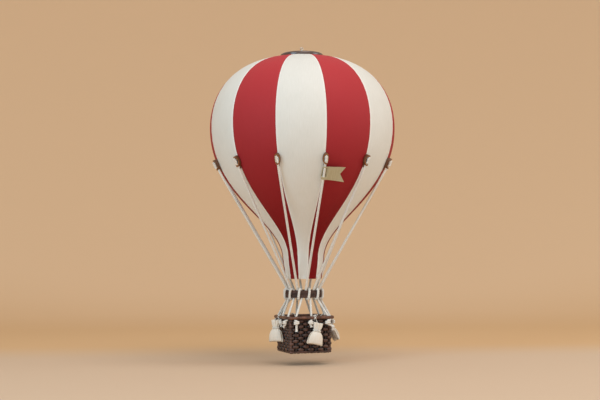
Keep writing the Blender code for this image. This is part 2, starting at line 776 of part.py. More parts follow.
def make_flag(finish):
    """The swallow-tailed flag, folded round one cord as a sleeve."""
    offset = CORD_RADIUS + GAP
    curve = bpy.data.curves.new("flag", "CURVE")
    curve.dimensions = "2D"
    curve.fill_mode = "BOTH"
    curve.extrude = FLAG_THICKNESS / 2
    spline = curve.splines.new("POLY")
    spline.points.add(len(FLAG_OUTLINE) - 1)
    spline.use_cyclic_u = True
    for point, (across, down) in zip(spline.points, FLAG_OUTLINE):
        point.co = (across, -down, 0, 1)
    guide = bpy.data.objects.new("flag_guide", curve)
    CUTTERS.objects.link(guide)
    sheet = mesh_of(guide)
    sheet.transform(Matrix.Translation((0, 0, offset + FLAG_THICKNESS / 2)))

    frame = flag_frame()
    flag = add_object("flag", sheet, finish, frame)
    lengthwise = Matrix.Rotation(math.pi / 2, 4, "X")
    rounds = (("sleeve", offset + FLAG_THICKNESS, 0), ("bore", offset, BORE_EXTRA))
    for name, radius, extra in rounds:
        bm = bmesh.new()
        centre = Matrix.Translation((0, -SLEEVE_START - SLEEVE_LENGTH / 2, 0))
        bmesh.ops.create_cone(
            bm, cap_ends=True, segments=16, radius1=radius, radius2=radius,
            depth=SLEEVE_LENGTH + extra, matrix=centre @ lengthwise,
        )
        cutter = add_cutter(f"flag_{name}", mesh_from(bm, f"flag_{name}"))
        cutter.matrix_world = frame
        boolean(flag, cutter, "DIFFERENCE" if extra else "UNION")


for old_object in list(bpy.data.objects):
    bpy.data.objects.remove(old_object)

PARTS = collection("model_balloon")
CUTTERS = collection("cutters")

cotton_white = material("cotton_white", "#E2DDCF", 0.85)
cotton_red = material("cotton_red", "#9C2A30", 0.85)

make_shell(material("moulded_shell", "#D9CDB8", 0.75))
make_gores((cotton_white, cotton_red))
make_crown_disc(material("stained_wood", "#4A332A", 0.40))
make_eye(material("steel_wire", "#C4C0B8", 0.35, 1.0))
make_loops(material("brown_leather", "#4E2A1B", 0.60))
make_cords(material("twisted_cotton", "#E4DDD0", 0.90))
make_ring(material("wound_fibre", "#573E35", 0.55))
wicker = material("dark_wicker", "#3F2C26", 0.50)
make_basket(wicker)
make_rim(material("rim_rods", "#55392C", 0.50))
make_bags(material("cream_canvas", "#DCD2C2", 0.90), material("thin_twine", "#E6DFCF", 0.90))
make_flag(material("flag_linen", "#BAAC8B", 0.90))
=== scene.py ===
"""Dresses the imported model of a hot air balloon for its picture.

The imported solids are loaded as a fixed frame. Most of them are then replaced by made pieces at the
same places: sewn cotton gores, leather loops, laid cords with their knots, a wound ring, a woven
basket and filled sand bags. Lengths are in metres, and the basket's front faces -Y.
"""

import sys
import logging
import math
from contextlib import contextmanager
from dataclasses import dataclass, field
from enum import Enum
from typing import Callable, Iterator, Mapping, Sequence, Union

import bmesh
import bpy
from mathutils import Matrix, Vector, noise


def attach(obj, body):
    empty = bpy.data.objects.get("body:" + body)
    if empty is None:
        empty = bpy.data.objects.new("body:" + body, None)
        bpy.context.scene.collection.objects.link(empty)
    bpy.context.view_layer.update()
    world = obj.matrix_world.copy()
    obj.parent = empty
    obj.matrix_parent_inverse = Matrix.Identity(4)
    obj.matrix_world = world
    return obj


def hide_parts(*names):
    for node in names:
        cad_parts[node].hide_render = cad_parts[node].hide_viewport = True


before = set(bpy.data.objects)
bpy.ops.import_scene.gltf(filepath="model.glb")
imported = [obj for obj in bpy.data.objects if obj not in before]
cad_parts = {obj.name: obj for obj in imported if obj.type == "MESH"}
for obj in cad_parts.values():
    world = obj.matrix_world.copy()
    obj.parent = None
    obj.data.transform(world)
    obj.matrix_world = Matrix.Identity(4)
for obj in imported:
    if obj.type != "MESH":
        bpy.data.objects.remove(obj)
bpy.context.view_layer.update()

log = logging.getLogger("balloon")

Setting = Union[str, float, int, bool, tuple]
Slot = Union[str, int]
Span = tuple[float, float]

# Clearance that the solids keep between touching parts
GAP = 0.0003
BALLOON = "balloon"
GORES = 12
GORE_ANGLE = 2 * math.pi / GORES
# Direction of the first seam, and of the first cord on the ring, about the upright axis
FIRST_SEAM = math.radians(-123.8)
FIRST_HITCH = math.radians(-122.0)
# Points of a mesh nearer to each other than this are one
SAME_PLACE = 0.000005
# Distance from the basket's middle to the middle of its walls
WALL_MIDDLE = 0.02265


class Pick(Enum):
    """What an edit-mode selection is made of."""

    VERTS = "VERT"
    EDGES = "EDGE"


class Cloth(Enum):
    """The two cottons that the gores are cut from."""

    WHITE = "white"
    RED = "red"


def deselect_all() -> None:
    """Deselect every object."""
    bpy.ops.object.select_all(action="DESELECT")


def activate(obj: bpy.types.Object) -> None:
    """Make one object the only one that operators act on.

    Args:
        obj: The object to select.
    """
    deselect_all()
    obj.select_set(True)
    bpy.context.view_layer.objects.active = obj


@contextmanager
def editing(obj: bpy.types.Object) -> Iterator[None]:
    """Hold an object in edit mode.

    Args:
        obj: The object to edit.

    Yields:
        Nothing, while the object is in edit mode.
    """
    activate(obj)
    bpy.ops.object.mode_set(mode="EDIT")
    try:
        yield
    finally:
        bpy.ops.object.mode_set(mode="OBJECT")


def pick(obj: bpy.types.Object, kind: Pick, wanted: Callable[..., bool]) -> None:
    """Select parts of the mesh being edited, by a test on each of them.

    Args:
        obj: The object in edit mode.
        kind: Vertices or edges.
        wanted: Tells of one vertex or edge whether it is selected.
    """
    bpy.ops.mesh.select_mode(type=kind.value)
    bpy.ops.mesh.select_all(action="DESELECT")
    bm = bmesh.from_edit_mesh(obj.data)
    for item in bm.verts if kind is Pick.VERTS else bm.edges:
        item.select_set(wanted(item))
    bm.select_flush_mode()
    bmesh.update_edit_mesh(obj.data)


def apply_modifier(obj: bpy.types.Object, kind: str, **settings: Setting) -> None:
    """Add a modifier with its settings and apply it at once.

    Args:
        obj: The object that the modifier works on.
        kind: Blender's type of modifier.
        settings: The modifier's properties by name.
    """
    activate(obj)
    made = obj.modifiers.new(kind.title(), kind)
    for name, value in settings.items():
        setattr(made, name, value)
    bpy.ops.object.modifier_apply(modifier=made.name)


def settle(obj: bpy.types.Object) -> None:
    """Put an object's place into its mesh, so that the object sits at the origin."""
    activate(obj)
    bpy.ops.object.transform_apply(location=True, rotation=True, scale=True)


def close_up(obj: bpy.types.Object) -> None:
    """Merge an object's doubles and turn its faces outwards.

    Args:
        obj: The object to mend.
    """
    with editing(obj):
        bpy.ops.mesh.select_all(action="SELECT")
        bpy.ops.mesh.remove_doubles(threshold=SAME_PLACE)
        turn_faces()


def turn_faces(inside: bool = False) -> None:
    """Turn all the faces being edited outwards, or inwards."""
    bpy.ops.mesh.select_all(action="SELECT")
    bpy.ops.mesh.normals_make_consistent(inside=inside)


def extrude_up(rise: float) -> None:
    """Extrude the edges selected in edit mode upwards."""
    bpy.ops.mesh.extrude_region_move(TRANSFORM_OT_translate={"value": (0, 0, rise)})


def spin(obj: bpy.types.Object, steps: int, angle: float = 2 * math.pi) -> None:
    """Spin an object's edges about the upright axis.

    Args:
        obj: The object.
        steps: How many columns of faces it gets.
        angle: How far it is spun.
    """
    with editing(obj):
        bpy.ops.mesh.select_all(action="SELECT")
        bpy.ops.mesh.spin(steps=steps, angle=angle, center=(0, 0, 0), axis=(0, 0, 1))


def shade(obj: bpy.types.Object, angle: float = 180.0) -> None:
    """Smooth an object's faces, but for edges sharper than an angle in degrees.

    Args:
        obj: The object to shade.
        angle: The sharpest angle that is still smooth.
    """
    activate(obj)
    if angle < 180.0:
        bpy.ops.object.shade_smooth_by_angle(angle=math.radians(angle))
    else:
        bpy.ops.object.shade_smooth()


def copy_of(obj: bpy.types.Object, name: str, place: Matrix) -> bpy.types.Object:
    """Copy a made object, with a mesh of its own, to another place.

    Args:
        obj: The object to copy.
        name: The copy's name.
        place: Where the copy goes.

    Returns:
        The copy, whose object sits at the origin.
    """
    made = obj.copy()
    made.data = obj.data.copy()
    made.name = name
    made.data.name = name
    bpy.context.collection.objects.link(made)
    made.data.transform(place)
    return made


def discard(obj: bpy.types.Object) -> None:
    """Remove an object that was only a pattern for others."""
    bpy.data.objects.remove(obj)


def join(name: str, parts: Sequence[bpy.types.Object]) -> bpy.types.Object:
    """Join objects into one.

    Args:
        name: The joined object's name.
        parts: The objects, of which the first keeps its materials first.

    Returns:
        The joined object.
    """
    activate(parts[0])
    for part in parts:
        part.select_set(True)
    bpy.ops.object.join()
    parts[0].name = name
    parts[0].data.name = name
    return parts[0]


def dress(obj: bpy.types.Object, *finishes: bpy.types.Material) -> None:
    """Give an object its materials in place of any it has.

    Args:
        obj: The object to dress.
        finishes: The materials, in the order of its slots.
    """
    obj.data.materials.clear()
    for finish in finishes:
        obj.data.materials.append(finish)


def hand_over(piece: bpy.types.Object, solid: str = "", body: str = BALLOON) -> None:
    """Tell the frame what a finished piece is, and log its number of faces.

    Args:
        piece: The finished piece.
        solid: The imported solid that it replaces, if any.
        body: The body that it rides.
    """
    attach(piece, body)
    if solid:
        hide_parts(solid)
    log.info("%s: %d faces", piece.name, len(piece.data.polygons))


def shares(steps: int) -> list[float]:
    """Give the shares from 0 to 1 in even steps."""
    return [k / steps for k in range(steps + 1)]


def on_bezier(points: Sequence[Vector], share: float) -> tuple[Vector, Vector]:
    """Find a place on a cubic curve.

    Args:
        points: The curve's four control points.
        share: How far along the curve, from 0 to 1.

    Returns:
        The place and the direction there.
    """
    first = [a.lerp(b, share) for a, b in zip(points, points[1:])]
    second = [a.lerp(b, share) for a, b in zip(first, first[1:])]
    return second[0].lerp(second[1], share), (second[1] - second[0]).normalized()


def around(angle: float, radius: float, height: float) -> Vector:
    """Place a point by its angle about the upright axis."""
    return Vector((radius * math.cos(angle), radius * math.sin(angle), height))


def sized(place: Vector, radius: float) -> Vector:
    """Join a point of a run and the radius there."""
    return Vector((*place, radius))


def frame_at(origin: Vector, *axes: Vector) -> Matrix:
    """Make the frame that has its origin and its three axes at given places.

    Args:
        origin: Where the frame is.
        axes: The directions of its X, Y and Z.

    Returns:
        The frame.
    """
    made = Matrix(axes).transposed().to_4x4()
    made.translation = origin
    return made


def out_of_run(path: Sequence[Vector], k: int) -> Vector:
    """Give the level direction out of a closed run at one of its points."""
    along = path[(k + 1) % len(path)] - path[k - 1]
    return Vector((along.y, -along.x, 0)).normalized()


def smooth_run(points: Sequence[Vector], step: float, closed: bool = False) -> list[Vector]:
    """Run a smooth curve through points, each of which may carry a radius as its fourth part.

    Args:
        points: The points that the curve passes through.
        step: The spacing of the points it is made into.
        closed: Whether the curve returns to its first point.

    Returns:
        The close points along the curve.
    """
    if closed:
        ring = [points[-1], *points, points[0], points[1]]
    else:
        ring = [2 * points[0] - points[1], *points, 2 * points[-1] - points[-2]]
    made = []
    for a, b, c, d in zip(ring, ring[1:], ring[2:], ring[3:]):
        times = [0.0]
        for before, after in ((a, b), (b, c), (c, d)):
            length = (after.to_3d() - before.to_3d()).length
            times.append(times[-1] + max(length, 1e-6) ** 0.5)
        count = max(1, round((c.to_3d() - b.to_3d()).length / step))
        for k in range(count):
            t = times[1] + (times[2] - times[1]) * k / count
            row = [a, b, c, d]
            for level in (1, 2):
                row = [
                    p.lerp(q, (t - times[i]) / (times[i + level] - times[i]))
                    for i, (p, q) in enumerate(zip(row, row[1:]))
                ]
            made.append(row[0].lerp(row[1], (t - times[1]) / (times[2] - times[1])))
    if not closed:
        made.append(points[-1].copy())
    return made


def round_section(radius: float, sides: int, flat: float = 1.0) -> list[tuple[float, float]]:
    """Outline a round or flattened rod.

    Args:
        radius: Half of the rod's size across.
        sides: How many points it has.
        flat: The other half's share of the radius.

    Returns:
        The outline's points.
    """
    turns = [2 * math.pi * k / sides for k in range(sides)]
    return [(radius * math.cos(turn), flat * radius * math.sin(turn)) for turn in turns]


def laid_section(
    radius: float, strands: int, points: int, groove: float = 0.2
) -> list[tuple[float, float]]:
    """Outline strands that lie against each other in a cord.

    Args:
        radius: The cord's radius.
        strands: How many strands it is laid from.
        points: How many points the outside of each strand has.
        groove: The depth of the grooves between them, as a share of the radius.

    Returns:
        The outline's points.
    """
    made = []
    for k in range(strands * points):
        turn = 2 * math.pi * k / (strands * points)
        reach = radius * (1 - groove * (1 - abs(math.cos(strands * turn / 2))))
        made.append((reach * math.cos(turn), reach * math.sin(turn)))
    return made


def new_curve(name: str, points: Sequence[Vector], closed: bool) -> bpy.types.Object:
    """Lay a straight-edged curve through points.

    Args:
        name: The curve's name.
        points: Its points, whose fourth part, if any, is the curve's radius there.
        closed: Whether it returns to its first point.

    Returns:
        The curve object.
    """
    deselect_all()
    bpy.ops.curve.primitive_nurbs_path_add(radius=1, location=(0, 0, 0))
    made = bpy.context.object
    made.name = name
    made.data.splines.clear()
    spline = made.data.splines.new("POLY")
    spline.points.add(len(points) - 1)
    spline.use_cyclic_u = closed
    for point, place in zip(spline.points, points):
        point.co = (*place.to_3d(), 1)
        point.radius = place.w if len(place) == 4 else 1.0
    return made


def new_ring(name: str, points: int, height: float = 0.0) -> bpy.types.Object:
    """Lay a level ring of edges round the upright axis, with a radius of 1 metre.

    Args:
        name: The ring's name.
        points: How many points it has.
        height: Where it lies.

    Returns:
        The mesh object.
    """
    deselect_all()
    bpy.ops.mesh.primitive_circle_add(vertices=points, radius=1, location=(0, 0, height))
    made = bpy.context.object
    made.name = name
    return made


def to_mesh(curve: bpy.types.Object) -> bpy.types.Object:
    """Turn a curve into a mesh.

    Args:
        curve: The curve object.

    Returns:
        The mesh object.
    """
    activate(curve)
    bpy.ops.object.convert(target="MESH")
    return bpy.context.object


def sweep(
    name: str,
    points: Sequence[Vector],
    section: Sequence[tuple[float, float]],
    closed: bool = False,
    pitch: float = 0.0,
    upright: bool = False,
) -> bpy.types.Object:
    """Carry a section along a run of points, as a mesh with its length and girth as UV map.

    Args:
        name: The mesh object's name.
        points: The run. A fourth part is the share of the section's size there.
        section: The section's outline.
        closed: Whether the run returns to its first point.
        pitch: The length in which the section turns once, or 0 where it doesn't.
        upright: Whether the section keeps its second side upright.

    Returns:
        The mesh object.
    """
    outline = new_curve("section", [Vector((x, y, 0)) for x, y in section], True)
    outline.data.dimensions = "2D"
    path = new_curve(name, points, closed)
    path.data.dimensions = "3D"
    path.data.twist_mode = "Z_UP" if upright else "MINIMUM"
    path.data.bevel_mode = "OBJECT"
    path.data.bevel_object = outline
    path.data.use_fill_caps = True
    length = 0.0
    run = [point.to_3d() for point in points]
    for i, point in enumerate(path.data.splines[0].points):
        length += (run[i] - run[i - 1]).length if i else 0.0
        point.tilt = 2 * math.pi * length / pitch if pitch else 0.0
    made = to_mesh(path)
    discard(outline)
    made.name = name
    girth = sum((Vector(a) - Vector(b)).length for a, b in zip(section, section[1:]))
    for loop in made.data.uv_layers[0].data:
        loop.uv = (loop.uv.x * girth, loop.uv.y * length)
    made.data.uv_layers[0].name = "UVMap"
    shade(made, 60)
    return made


def linear(hex_colour: str) -> tuple[float, float, float, float]:
    """Turn an sRGB hex colour into the linear colour of a shader socket.

    Args:
        hex_colour: The colour as #RRGGBB.

    Returns:
        Its linear red, green, blue and 1.
    """
    levels = [int(hex_colour[i:i + 2], 16) / 255 for i in (1, 3, 5)]
    red, green, blue = (v / 12.92 if v <= 0.04045 else ((v + 0.055) / 1.055) ** 2.4 for v in levels)
    return red, green, blue, 1.0


def add_node(
    tree: bpy.types.NodeTree,
    kind: str,
    settings: Mapping[Slot, Setting],
    links: Mapping[Slot, bpy.types.NodeSocket],
) -> bpy.types.Node:
    """Add a shader node with its settings and what feeds it.

    Args:
        tree: The material's nodes.
        kind: Blender's type of node.
        settings: Input values by input name or number, and properties by name.
        links: The sockets that feed its inputs, by input name or number.

    Returns:
        The node.
    """
    made = tree.nodes.new(kind)
    for key, value in settings.items():
        if isinstance(key, int) or key in made.inputs:
            made.inputs[key].default_value = value
        else:
            setattr(made, key, value)
    for key, socket in links.items():
        tree.links.new(socket, made.inputs[key])
    return made


def compute(
    tree: bpy.types.NodeTree, operation: str, *values: Union[float, bpy.types.NodeSocket]
) -> bpy.types.NodeSocket:
    """Work out a value with a Math node.

    Args:
        tree: The material's nodes.
        operation: The node's operation.
        values: Its inputs in order, each a number or a socket.

    Returns:
        The result's socket.
    """
    settings: dict[Slot, Setting] = {"operation": operation}
    links: dict[Slot, bpy.types.NodeSocket] = {}
    for slot, value in enumerate(values):
        if isinstance(value, bpy.types.NodeSocket):
            links[slot] = value
        else:
            settings[slot] = value
    return add_node(tree, "ShaderNodeMath", settings, links).outputs[0]


def spread(
    tree: bpy.types.NodeTree,
    value: bpy.types.NodeSocket,
    span: Span = (0.0, 1.0),
    onto: Span = (0.0, 1.0),
    smooth: bool = False,
) -> bpy.types.NodeSocket:
    """Map a value from one span onto another, held at its ends.

    Args:
        tree: The material's nodes.
        value: The value's socket.
        span: Where the value starts and stops counting.
        onto: What it becomes there.
        smooth: Whether it eases in and out.

    Returns:
        The mapped value's socket.
    """
    settings = {"From Min": span[0], "From Max": span[1], "To Min": onto[0], "To Max": onto[1]}
    if smooth:
        settings["interpolation_type"] = "SMOOTHSTEP"
    return add_node(tree, "ShaderNodeMapRange", settings, {"Value": value}).outputs[0]


def speckle(
    tree: bpy.types.NodeTree,
    place: bpy.types.NodeSocket,
    scale: float,
    detail: float,
    roughness: float = 0.5,
) -> bpy.types.NodeSocket:
    """Add noise.

    Args:
        tree: The material's nodes.
        place: The coordinates' socket, in metres.
        scale: How many grains there are to the metre.
        detail: How many finer levels it has.
        roughness: How strong these are.

    Returns:
        The noise's socket.
    """
    settings = {"Scale": scale, "Detail": detail, "Roughness": roughness}
    return add_node(tree, "ShaderNodeTexNoise", settings, {"Vector": place}).outputs[0]


def mapped(tree: bpy.types.NodeTree, name: str = "UVMap") -> bpy.types.NodeSocket:
    """Read one of the mesh's UV maps, which are in metres."""
    return add_node(tree, "ShaderNodeUVMap", {"uv_map": name}, {}).outputs[0]


def on_object(tree: bpy.types.NodeTree) -> bpy.types.NodeSocket:
    """Read the object coordinates."""
    return add_node(tree, "ShaderNodeTexCoord", {}, {}).outputs["Object"]


def drawn_out(
    tree: bpy.types.NodeTree, place: bpy.types.NodeSocket, share: float
) -> bpy.types.NodeSocket:
    """Draw a pattern out along its second axis, by scaling the coordinates there."""
    return add_node(tree, "ShaderNodeMapping", {"Scale": (1, share, 1)}, {"Vector": place}).outputs[0]


def split(tree: bpy.types.NodeTree, place: bpy.types.NodeSocket) -> bpy.types.NodeOutputs:
    """Split coordinates into their three parts."""
    return add_node(tree, "ShaderNodeSeparateXYZ", {}, {"Vector": place}).outputs


def blend_colours(
    tree: bpy.types.NodeTree,
    share: bpy.types.NodeSocket,
    first: Union[str, bpy.types.NodeSocket],
    second: Union[str, bpy.types.NodeSocket],
) -> bpy.types.NodeSocket:
    """Blend two colours by a share.

    Args:
        tree: The material's nodes.
        share: How much of the second colour there is.
        first: A hex colour, or the socket that gives one.
        second: A hex colour, or the socket that gives one.

    Returns:
        The blended colour's socket.
    """
    mix = add_node(tree, "ShaderNodeMix", {"data_type": "RGBA"}, {0: share})
    for slot, colour in ((6, first), (7, second)):
        if isinstance(colour, str):
            mix.inputs[slot].default_value = linear(colour)
        else:
            tree.links.new(colour, mix.inputs[slot])
    return mix.outputs[2]


def new_material(name: str) -> tuple[bpy.types.Material, bpy.types.NodeTree, bpy.types.Node]:
    """Start a material from its Principled shader.

    Args:
        name: The material's name.

    Returns:
        The material, its nodes and its shader.
    """
    made = bpy.data.materials.new(name)
    made.use_nodes = True
    return made, made.node_tree, made.node_tree.nodes["Principled BSDF"]


def surface(
    shader: bpy.types.Node,
    colour: bpy.types.NodeSocket,
    height: bpy.types.NodeSocket,
    relief: Mapping[Slot, Setting],
    levels: Mapping[str, float],
) -> None:
    """Lead a colour and a relief to a shader, and set its plain inputs.

    Args:
        shader: The Principled shader.
        colour: The colour's socket.
        height: The relief's socket.
        relief: The Bump node's settings.
        levels: The plain inputs' values by name.
    """
    tree = shader.id_data
    bump = add_node(tree, "ShaderNodeBump", relief, {"Height": height})
    tree.links.new(colour, shader.inputs["Base Color"])
    tree.links.new(bump.outputs[0], shader.inputs["Normal"])
    for name, value in levels.items():
        shader.inputs[name].default_value = value


def band_scale(spacing: float) -> float:
    """Give the Wave texture's scale for bands that are a length apart."""
    return math.pi / 10 / spacing


@dataclass(frozen=True)
class PlainWeave:
    """A plain-woven cloth, whose warp and weft follow the piece's UV map in metres.

    Matte, with a soft bloom at grazing angles from its loose fibres. The threads of the real
    cloths are 0.2 to 0.4 mm apart, and are drawn a little coarser so that they still show.
    """

    name: str
    colour: str
    slub_colour: str
    thread: float = 0.0006
    relief: float = 0.00006
    sheen: float = 0.10
    roughness: float = 0.62
    shine: float = 0.5
    edge_colour: str = ""
    edge_span: Span = (0.0019, 0.0011)
    ridge_at: float = 0.0
    ridge_half: float = 0.0006
    ridge_rise: float = 4.0
    stitch_at: float = 0.0
    stitch_span: Span = (0.00040, 0.00012)
    stitch_sink: float = -4.0
    stitch_colour: str = "#B5A68C"
    # Painted light: a lighter colour blended in up the UV map's length, and the span it is blended over.
    painted_light_colour: str = ""
    painted_light_span: Span = (0.06, 0.26)

    def build(self) -> bpy.types.Material:
        """Build the cloth's material.

        Returns:
            The material.
        """
        made, tree, shader = new_material(self.name)
        across = mapped(tree)
        bands = []
        for direction in ("X", "Y"):
            settings = {
                "wave_type": "BANDS", "bands_direction": direction, "wave_profile": "SIN",
                "Scale": band_scale(self.thread), "Distortion": 1.2, "Detail": 1.0,
                "Detail Scale": 0.4,
            }
            bands.append(add_node(tree, "ShaderNodeTexWave", settings, {"Vector": across}).outputs[0])
        weave = compute(tree, "MAXIMUM", *bands)
        slubs = speckle(tree, drawn_out(tree, across, 0.12), 900.0, 3.0)
        cloud = speckle(tree, across, 45.0, 3.0)
        mottle = compute(tree, "MULTIPLY_ADD", slubs, 0.6, 0.0)
        mottle = compute(tree, "MULTIPLY_ADD", cloud, 0.4, mottle)
        share = spread(tree, mottle, (0.35, 0.7))
        colour = blend_colours(tree, share, self.colour, self.slub_colour)
        # Painted light: the colour lightens up the UV map's length, towards the top, in place of the
        # light from above.
        if self.painted_light_colour:
            painted_light = spread(tree, split(tree, across)[1], self.painted_light_span)
            colour = blend_colours(tree, painted_light, colour, self.painted_light_colour)
        height = compute(tree, "MULTIPLY_ADD", slubs, 0.5, weave)
        if self.edge_colour or self.ridge_at or self.stitch_at:
            colour, height = self.sewn_edge(tree, colour, height)
        levels = {
            "Roughness": self.roughness, "Sheen Weight": self.sheen, "Sheen Roughness": 0.5,
            "Specular IOR Level": self.shine,
        }
        surface(shader, colour, height, {"Strength": 0.6, "Distance": self.relief}, levels)
        return made

    def sewn_edge(
        self,
        tree: bpy.types.NodeTree,
        colour: bpy.types.NodeSocket,
        height: bpy.types.NodeSocket,
    ) -> tuple[bpy.types.NodeSocket, bpy.types.NodeSocket]:
        """Show the turned allowance or the stitches along a seam, from the Seam map in metres.

        Args:
            tree: The material's nodes.
            colour: The cloth's colour.
            height: The cloth's relief.

        Returns:
            The colour and relief with the seam's edge.
        """
        inside = split(tree, mapped(tree, "Seam"))[0]
        if self.edge_colour:
            near = spread(tree, inside, self.edge_span, (0.0, 0.85))
            colour = blend_colours(tree, near, colour, self.edge_colour)
        if self.ridge_at:
            span = (self.ridge_at + self.ridge_half, self.ridge_at - self.ridge_half)
            rise = spread(tree, inside, span, (0.0, self.ridge_rise), smooth=True)
            height = compute(tree, "ADD", height, rise)
        if self.stitch_at:
            off = compute(tree, "ABSOLUTE", compute(tree, "SUBTRACT", inside, self.stitch_at))
            near = spread(tree, off, self.stitch_span)
            colour = blend_colours(tree, near, colour, self.stitch_colour)
            height = compute(tree, "MULTIPLY_ADD", near, self.stitch_sink, height)
        return colour, height


@dataclass(frozen=True)
class LaidCotton:
    """A cord or twine of twisted cotton, whose fibres run slantwise round each strand.

    Chalky and slightly hairy, so it is matte with a soft bloom, and it is darker in its grooves as
    painted shade.
    """

    name: str
    colour: str
    groove_shade_colour: str
    fibre: float = 0.0003
    slant: float = 38.0

    def build(self) -> bpy.types.Material:
        """Build the cord's material.

        Returns:
            The material.
        """
        made, tree, shader = new_material(self.name)
        across = mapped(tree)
        turned = add_node(
            tree, "ShaderNodeMapping", {"Rotation": (0, 0, math.radians(self.slant))}, {"Vector": across}
        ).outputs[0]
        fibres = add_node(
            tree, "ShaderNodeTexWave",
            {"wave_type": "BANDS", "Scale": band_scale(self.fibre), "Distortion": 2.5, "Detail": 2.0},
            {"Vector": turned},
        ).outputs[0]
        height = compute(tree, "MULTIPLY_ADD", speckle(tree, across, 700.0, 3.0), 0.5, fibres)
        # Painted shade: the low places between the fibres take the darker groove colour.
        share = spread(tree, height, (0.9, 0.1), (0.0, 0.8))
        colour = blend_colours(tree, share, self.colour, self.groove_shade_colour)
        levels = {"Roughness": 0.92, "Sheen Weight": 0.5, "Specular IOR Level": 0.2}
        surface(shader, colour, height, {"Strength": 0.5, "Distance": 0.00008}, levels)
        return made


@dataclass(frozen=True)
class StainedRod:
    """Peeled willow or fibre rod, stained dark, with its grain along the UV map's length.

    The stain leaves the high sides thinner and redder. Near the middle of a square wall the rods are
    painted nearly black as painted shade in the gaps between woven rods, and a thin coat of oil gives
    long soft highlights.
    """

    name: str
    colour: str
    worn_colour: str
    roughness: float = 0.42
    grain: float = 0.0004
    wall_at: float = 0.0
    wall_power: float = 8.0
    gap_shade_colour: str = "#0F0907"
    gap_shade_span: Span = (0.0002, 0.0013)

    def build(self) -> bpy.types.Material:
        """Build the rod's material.

        Returns:
            The material.
        """
        made, tree, shader = new_material(self.name)
        grain = speckle(tree, drawn_out(tree, mapped(tree), 0.07), 1 / self.grain, 4.0, 0.6)
        place = on_object(tree)
        cloud = speckle(tree, place, 240.0, 2.0)
        share = spread(tree, compute(tree, "MULTIPLY", grain, cloud), (0.17, 0.36))
        colour = blend_colours(tree, share, self.colour, self.worn_colour)
        # Painted shade: rods near the wall's middle are darkened to nearly black, in the gaps between
        # weavers.
        if self.wall_at:
            colour = self.paint_gap_shade(tree, place, colour)
        gloss = spread(tree, cloud, onto=(self.roughness + 0.12, self.roughness - 0.08))
        surface(shader, colour, grain, {"Strength": 0.5, "Distance": 0.00006}, {})
        tree.links.new(gloss, shader.inputs["Roughness"])
        return made

    def paint_gap_shade(
        self, tree: bpy.types.NodeTree, place: bpy.types.NodeSocket, colour: bpy.types.NodeSocket
    ) -> bpy.types.NodeSocket:
        """Darken the rods near the middle of a square wall, as painted shade in the gaps between the
        weavers.

        Args:
            tree: The material's nodes.
            place: The object coordinates.
            colour: The colour on the high sides.

        Returns:
            The darkened colour.
        """
        parts = split(tree, place)
        powers = [
            compute(tree, "POWER", compute(tree, "ABSOLUTE", parts[axis]), self.wall_power)
            for axis in range(2)
        ]
        reach = compute(tree, "POWER", compute(tree, "ADD", *powers), 1 / self.wall_power)
        depth = compute(tree, "ABSOLUTE", compute(tree, "SUBTRACT", reach, self.wall_at))
        return blend_colours(tree, spread(tree, depth, self.gap_shade_span), self.gap_shade_colour, colour)


@dataclass(frozen=True)
class TurnedWood:
    """A turned and stained wooden disc under satin lacquer, with fine rings from the lathe."""

    name: str
    colour: str
    worn_colour: str
    ring: float = 0.0007

    def build(self) -> bpy.types.Material:
        """Build the wood's material.

        Returns:
            The material.
        """
        made, tree, shader = new_material(self.name)
        place = on_object(tree)
        settings = {
            "wave_type": "RINGS", "rings_direction": "Z", "Scale": band_scale(self.ring),
            "Distortion": 0.6,
        }
        rings = add_node(tree, "ShaderNodeTexWave", settings, {"Vector": place}).outputs[0]
        grain = speckle(tree, drawn_out(tree, place, 0.06), 1500.0, 4.0)
        share = spread(tree, grain, (0.35, 0.75))
        colour = blend_colours(tree, share, self.colour, self.worn_colour)
        height = compute(tree, "MULTIPLY_ADD", rings, 0.4, grain)
        levels = {"Roughness": 0.30, "Coat Weight": 0.7, "Coat Roughness": 0.12}
        surface(shader, colour, height, {"Strength": 0.35, "Distance": 0.00005}, levels)
        return made


@dataclass(frozen=True)
class Leather:
    """Vegetable-tanned leather: a pebbled dark face, or the rubbed, lighter cut edge of it."""

    name: str
    colour: str
    crease_shade_colour: str
    pebble: float = 0.0006
    roughness: float = 0.55

    def build(self) -> bpy.types.Material:
        """Build the leather's material.

        Returns:
            The material.
        """
        made, tree, shader = new_material(self.name)
        place = on_object(tree)
        settings = {"feature": "F1", "Scale": 1 / self.pebble}
        cells = add_node(tree, "ShaderNodeTexVoronoi", settings, {"Vector": place}).outputs[0]
        # Painted shade: the creases between the pebbles, sunk by the inverted relief, take the darker
        # crease colour.
        share = compute(tree, "MULTIPLY", cells, speckle(tree, place, 500.0, 4.0))
        colour = blend_colours(tree, share, self.colour, self.crease_shade_colour)
        relief = {"Strength": 0.5, "Distance": 0.00008, "invert": True}
        surface(shader, colour, share, relief, {"Roughness": self.roughness, "Coat Weight": 0.08})
        return made


@dataclass(frozen=True)
class SteelWire:
    """Drawn, plated steel wire: bright, with smears from handling that take the shine off."""

    name: str
    colour: str
    smear_colour: str

    def build(self) -> bpy.types.Material:
        """Build the wire's material.

        Returns:
            The material.
        """
        made, tree, shader = new_material(self.name)
        smears = speckle(tree, on_object(tree), 900.0, 4.0)
        colour = blend_colours(tree, smears, self.colour, self.smear_colour)
        tree.links.new(spread(tree, smears, onto=(0.22, 0.45)), shader.inputs["Roughness"])
        tree.links.new(colour, shader.inputs["Base Color"])
        shader.inputs["Metallic"].default_value = 1.0
        return made


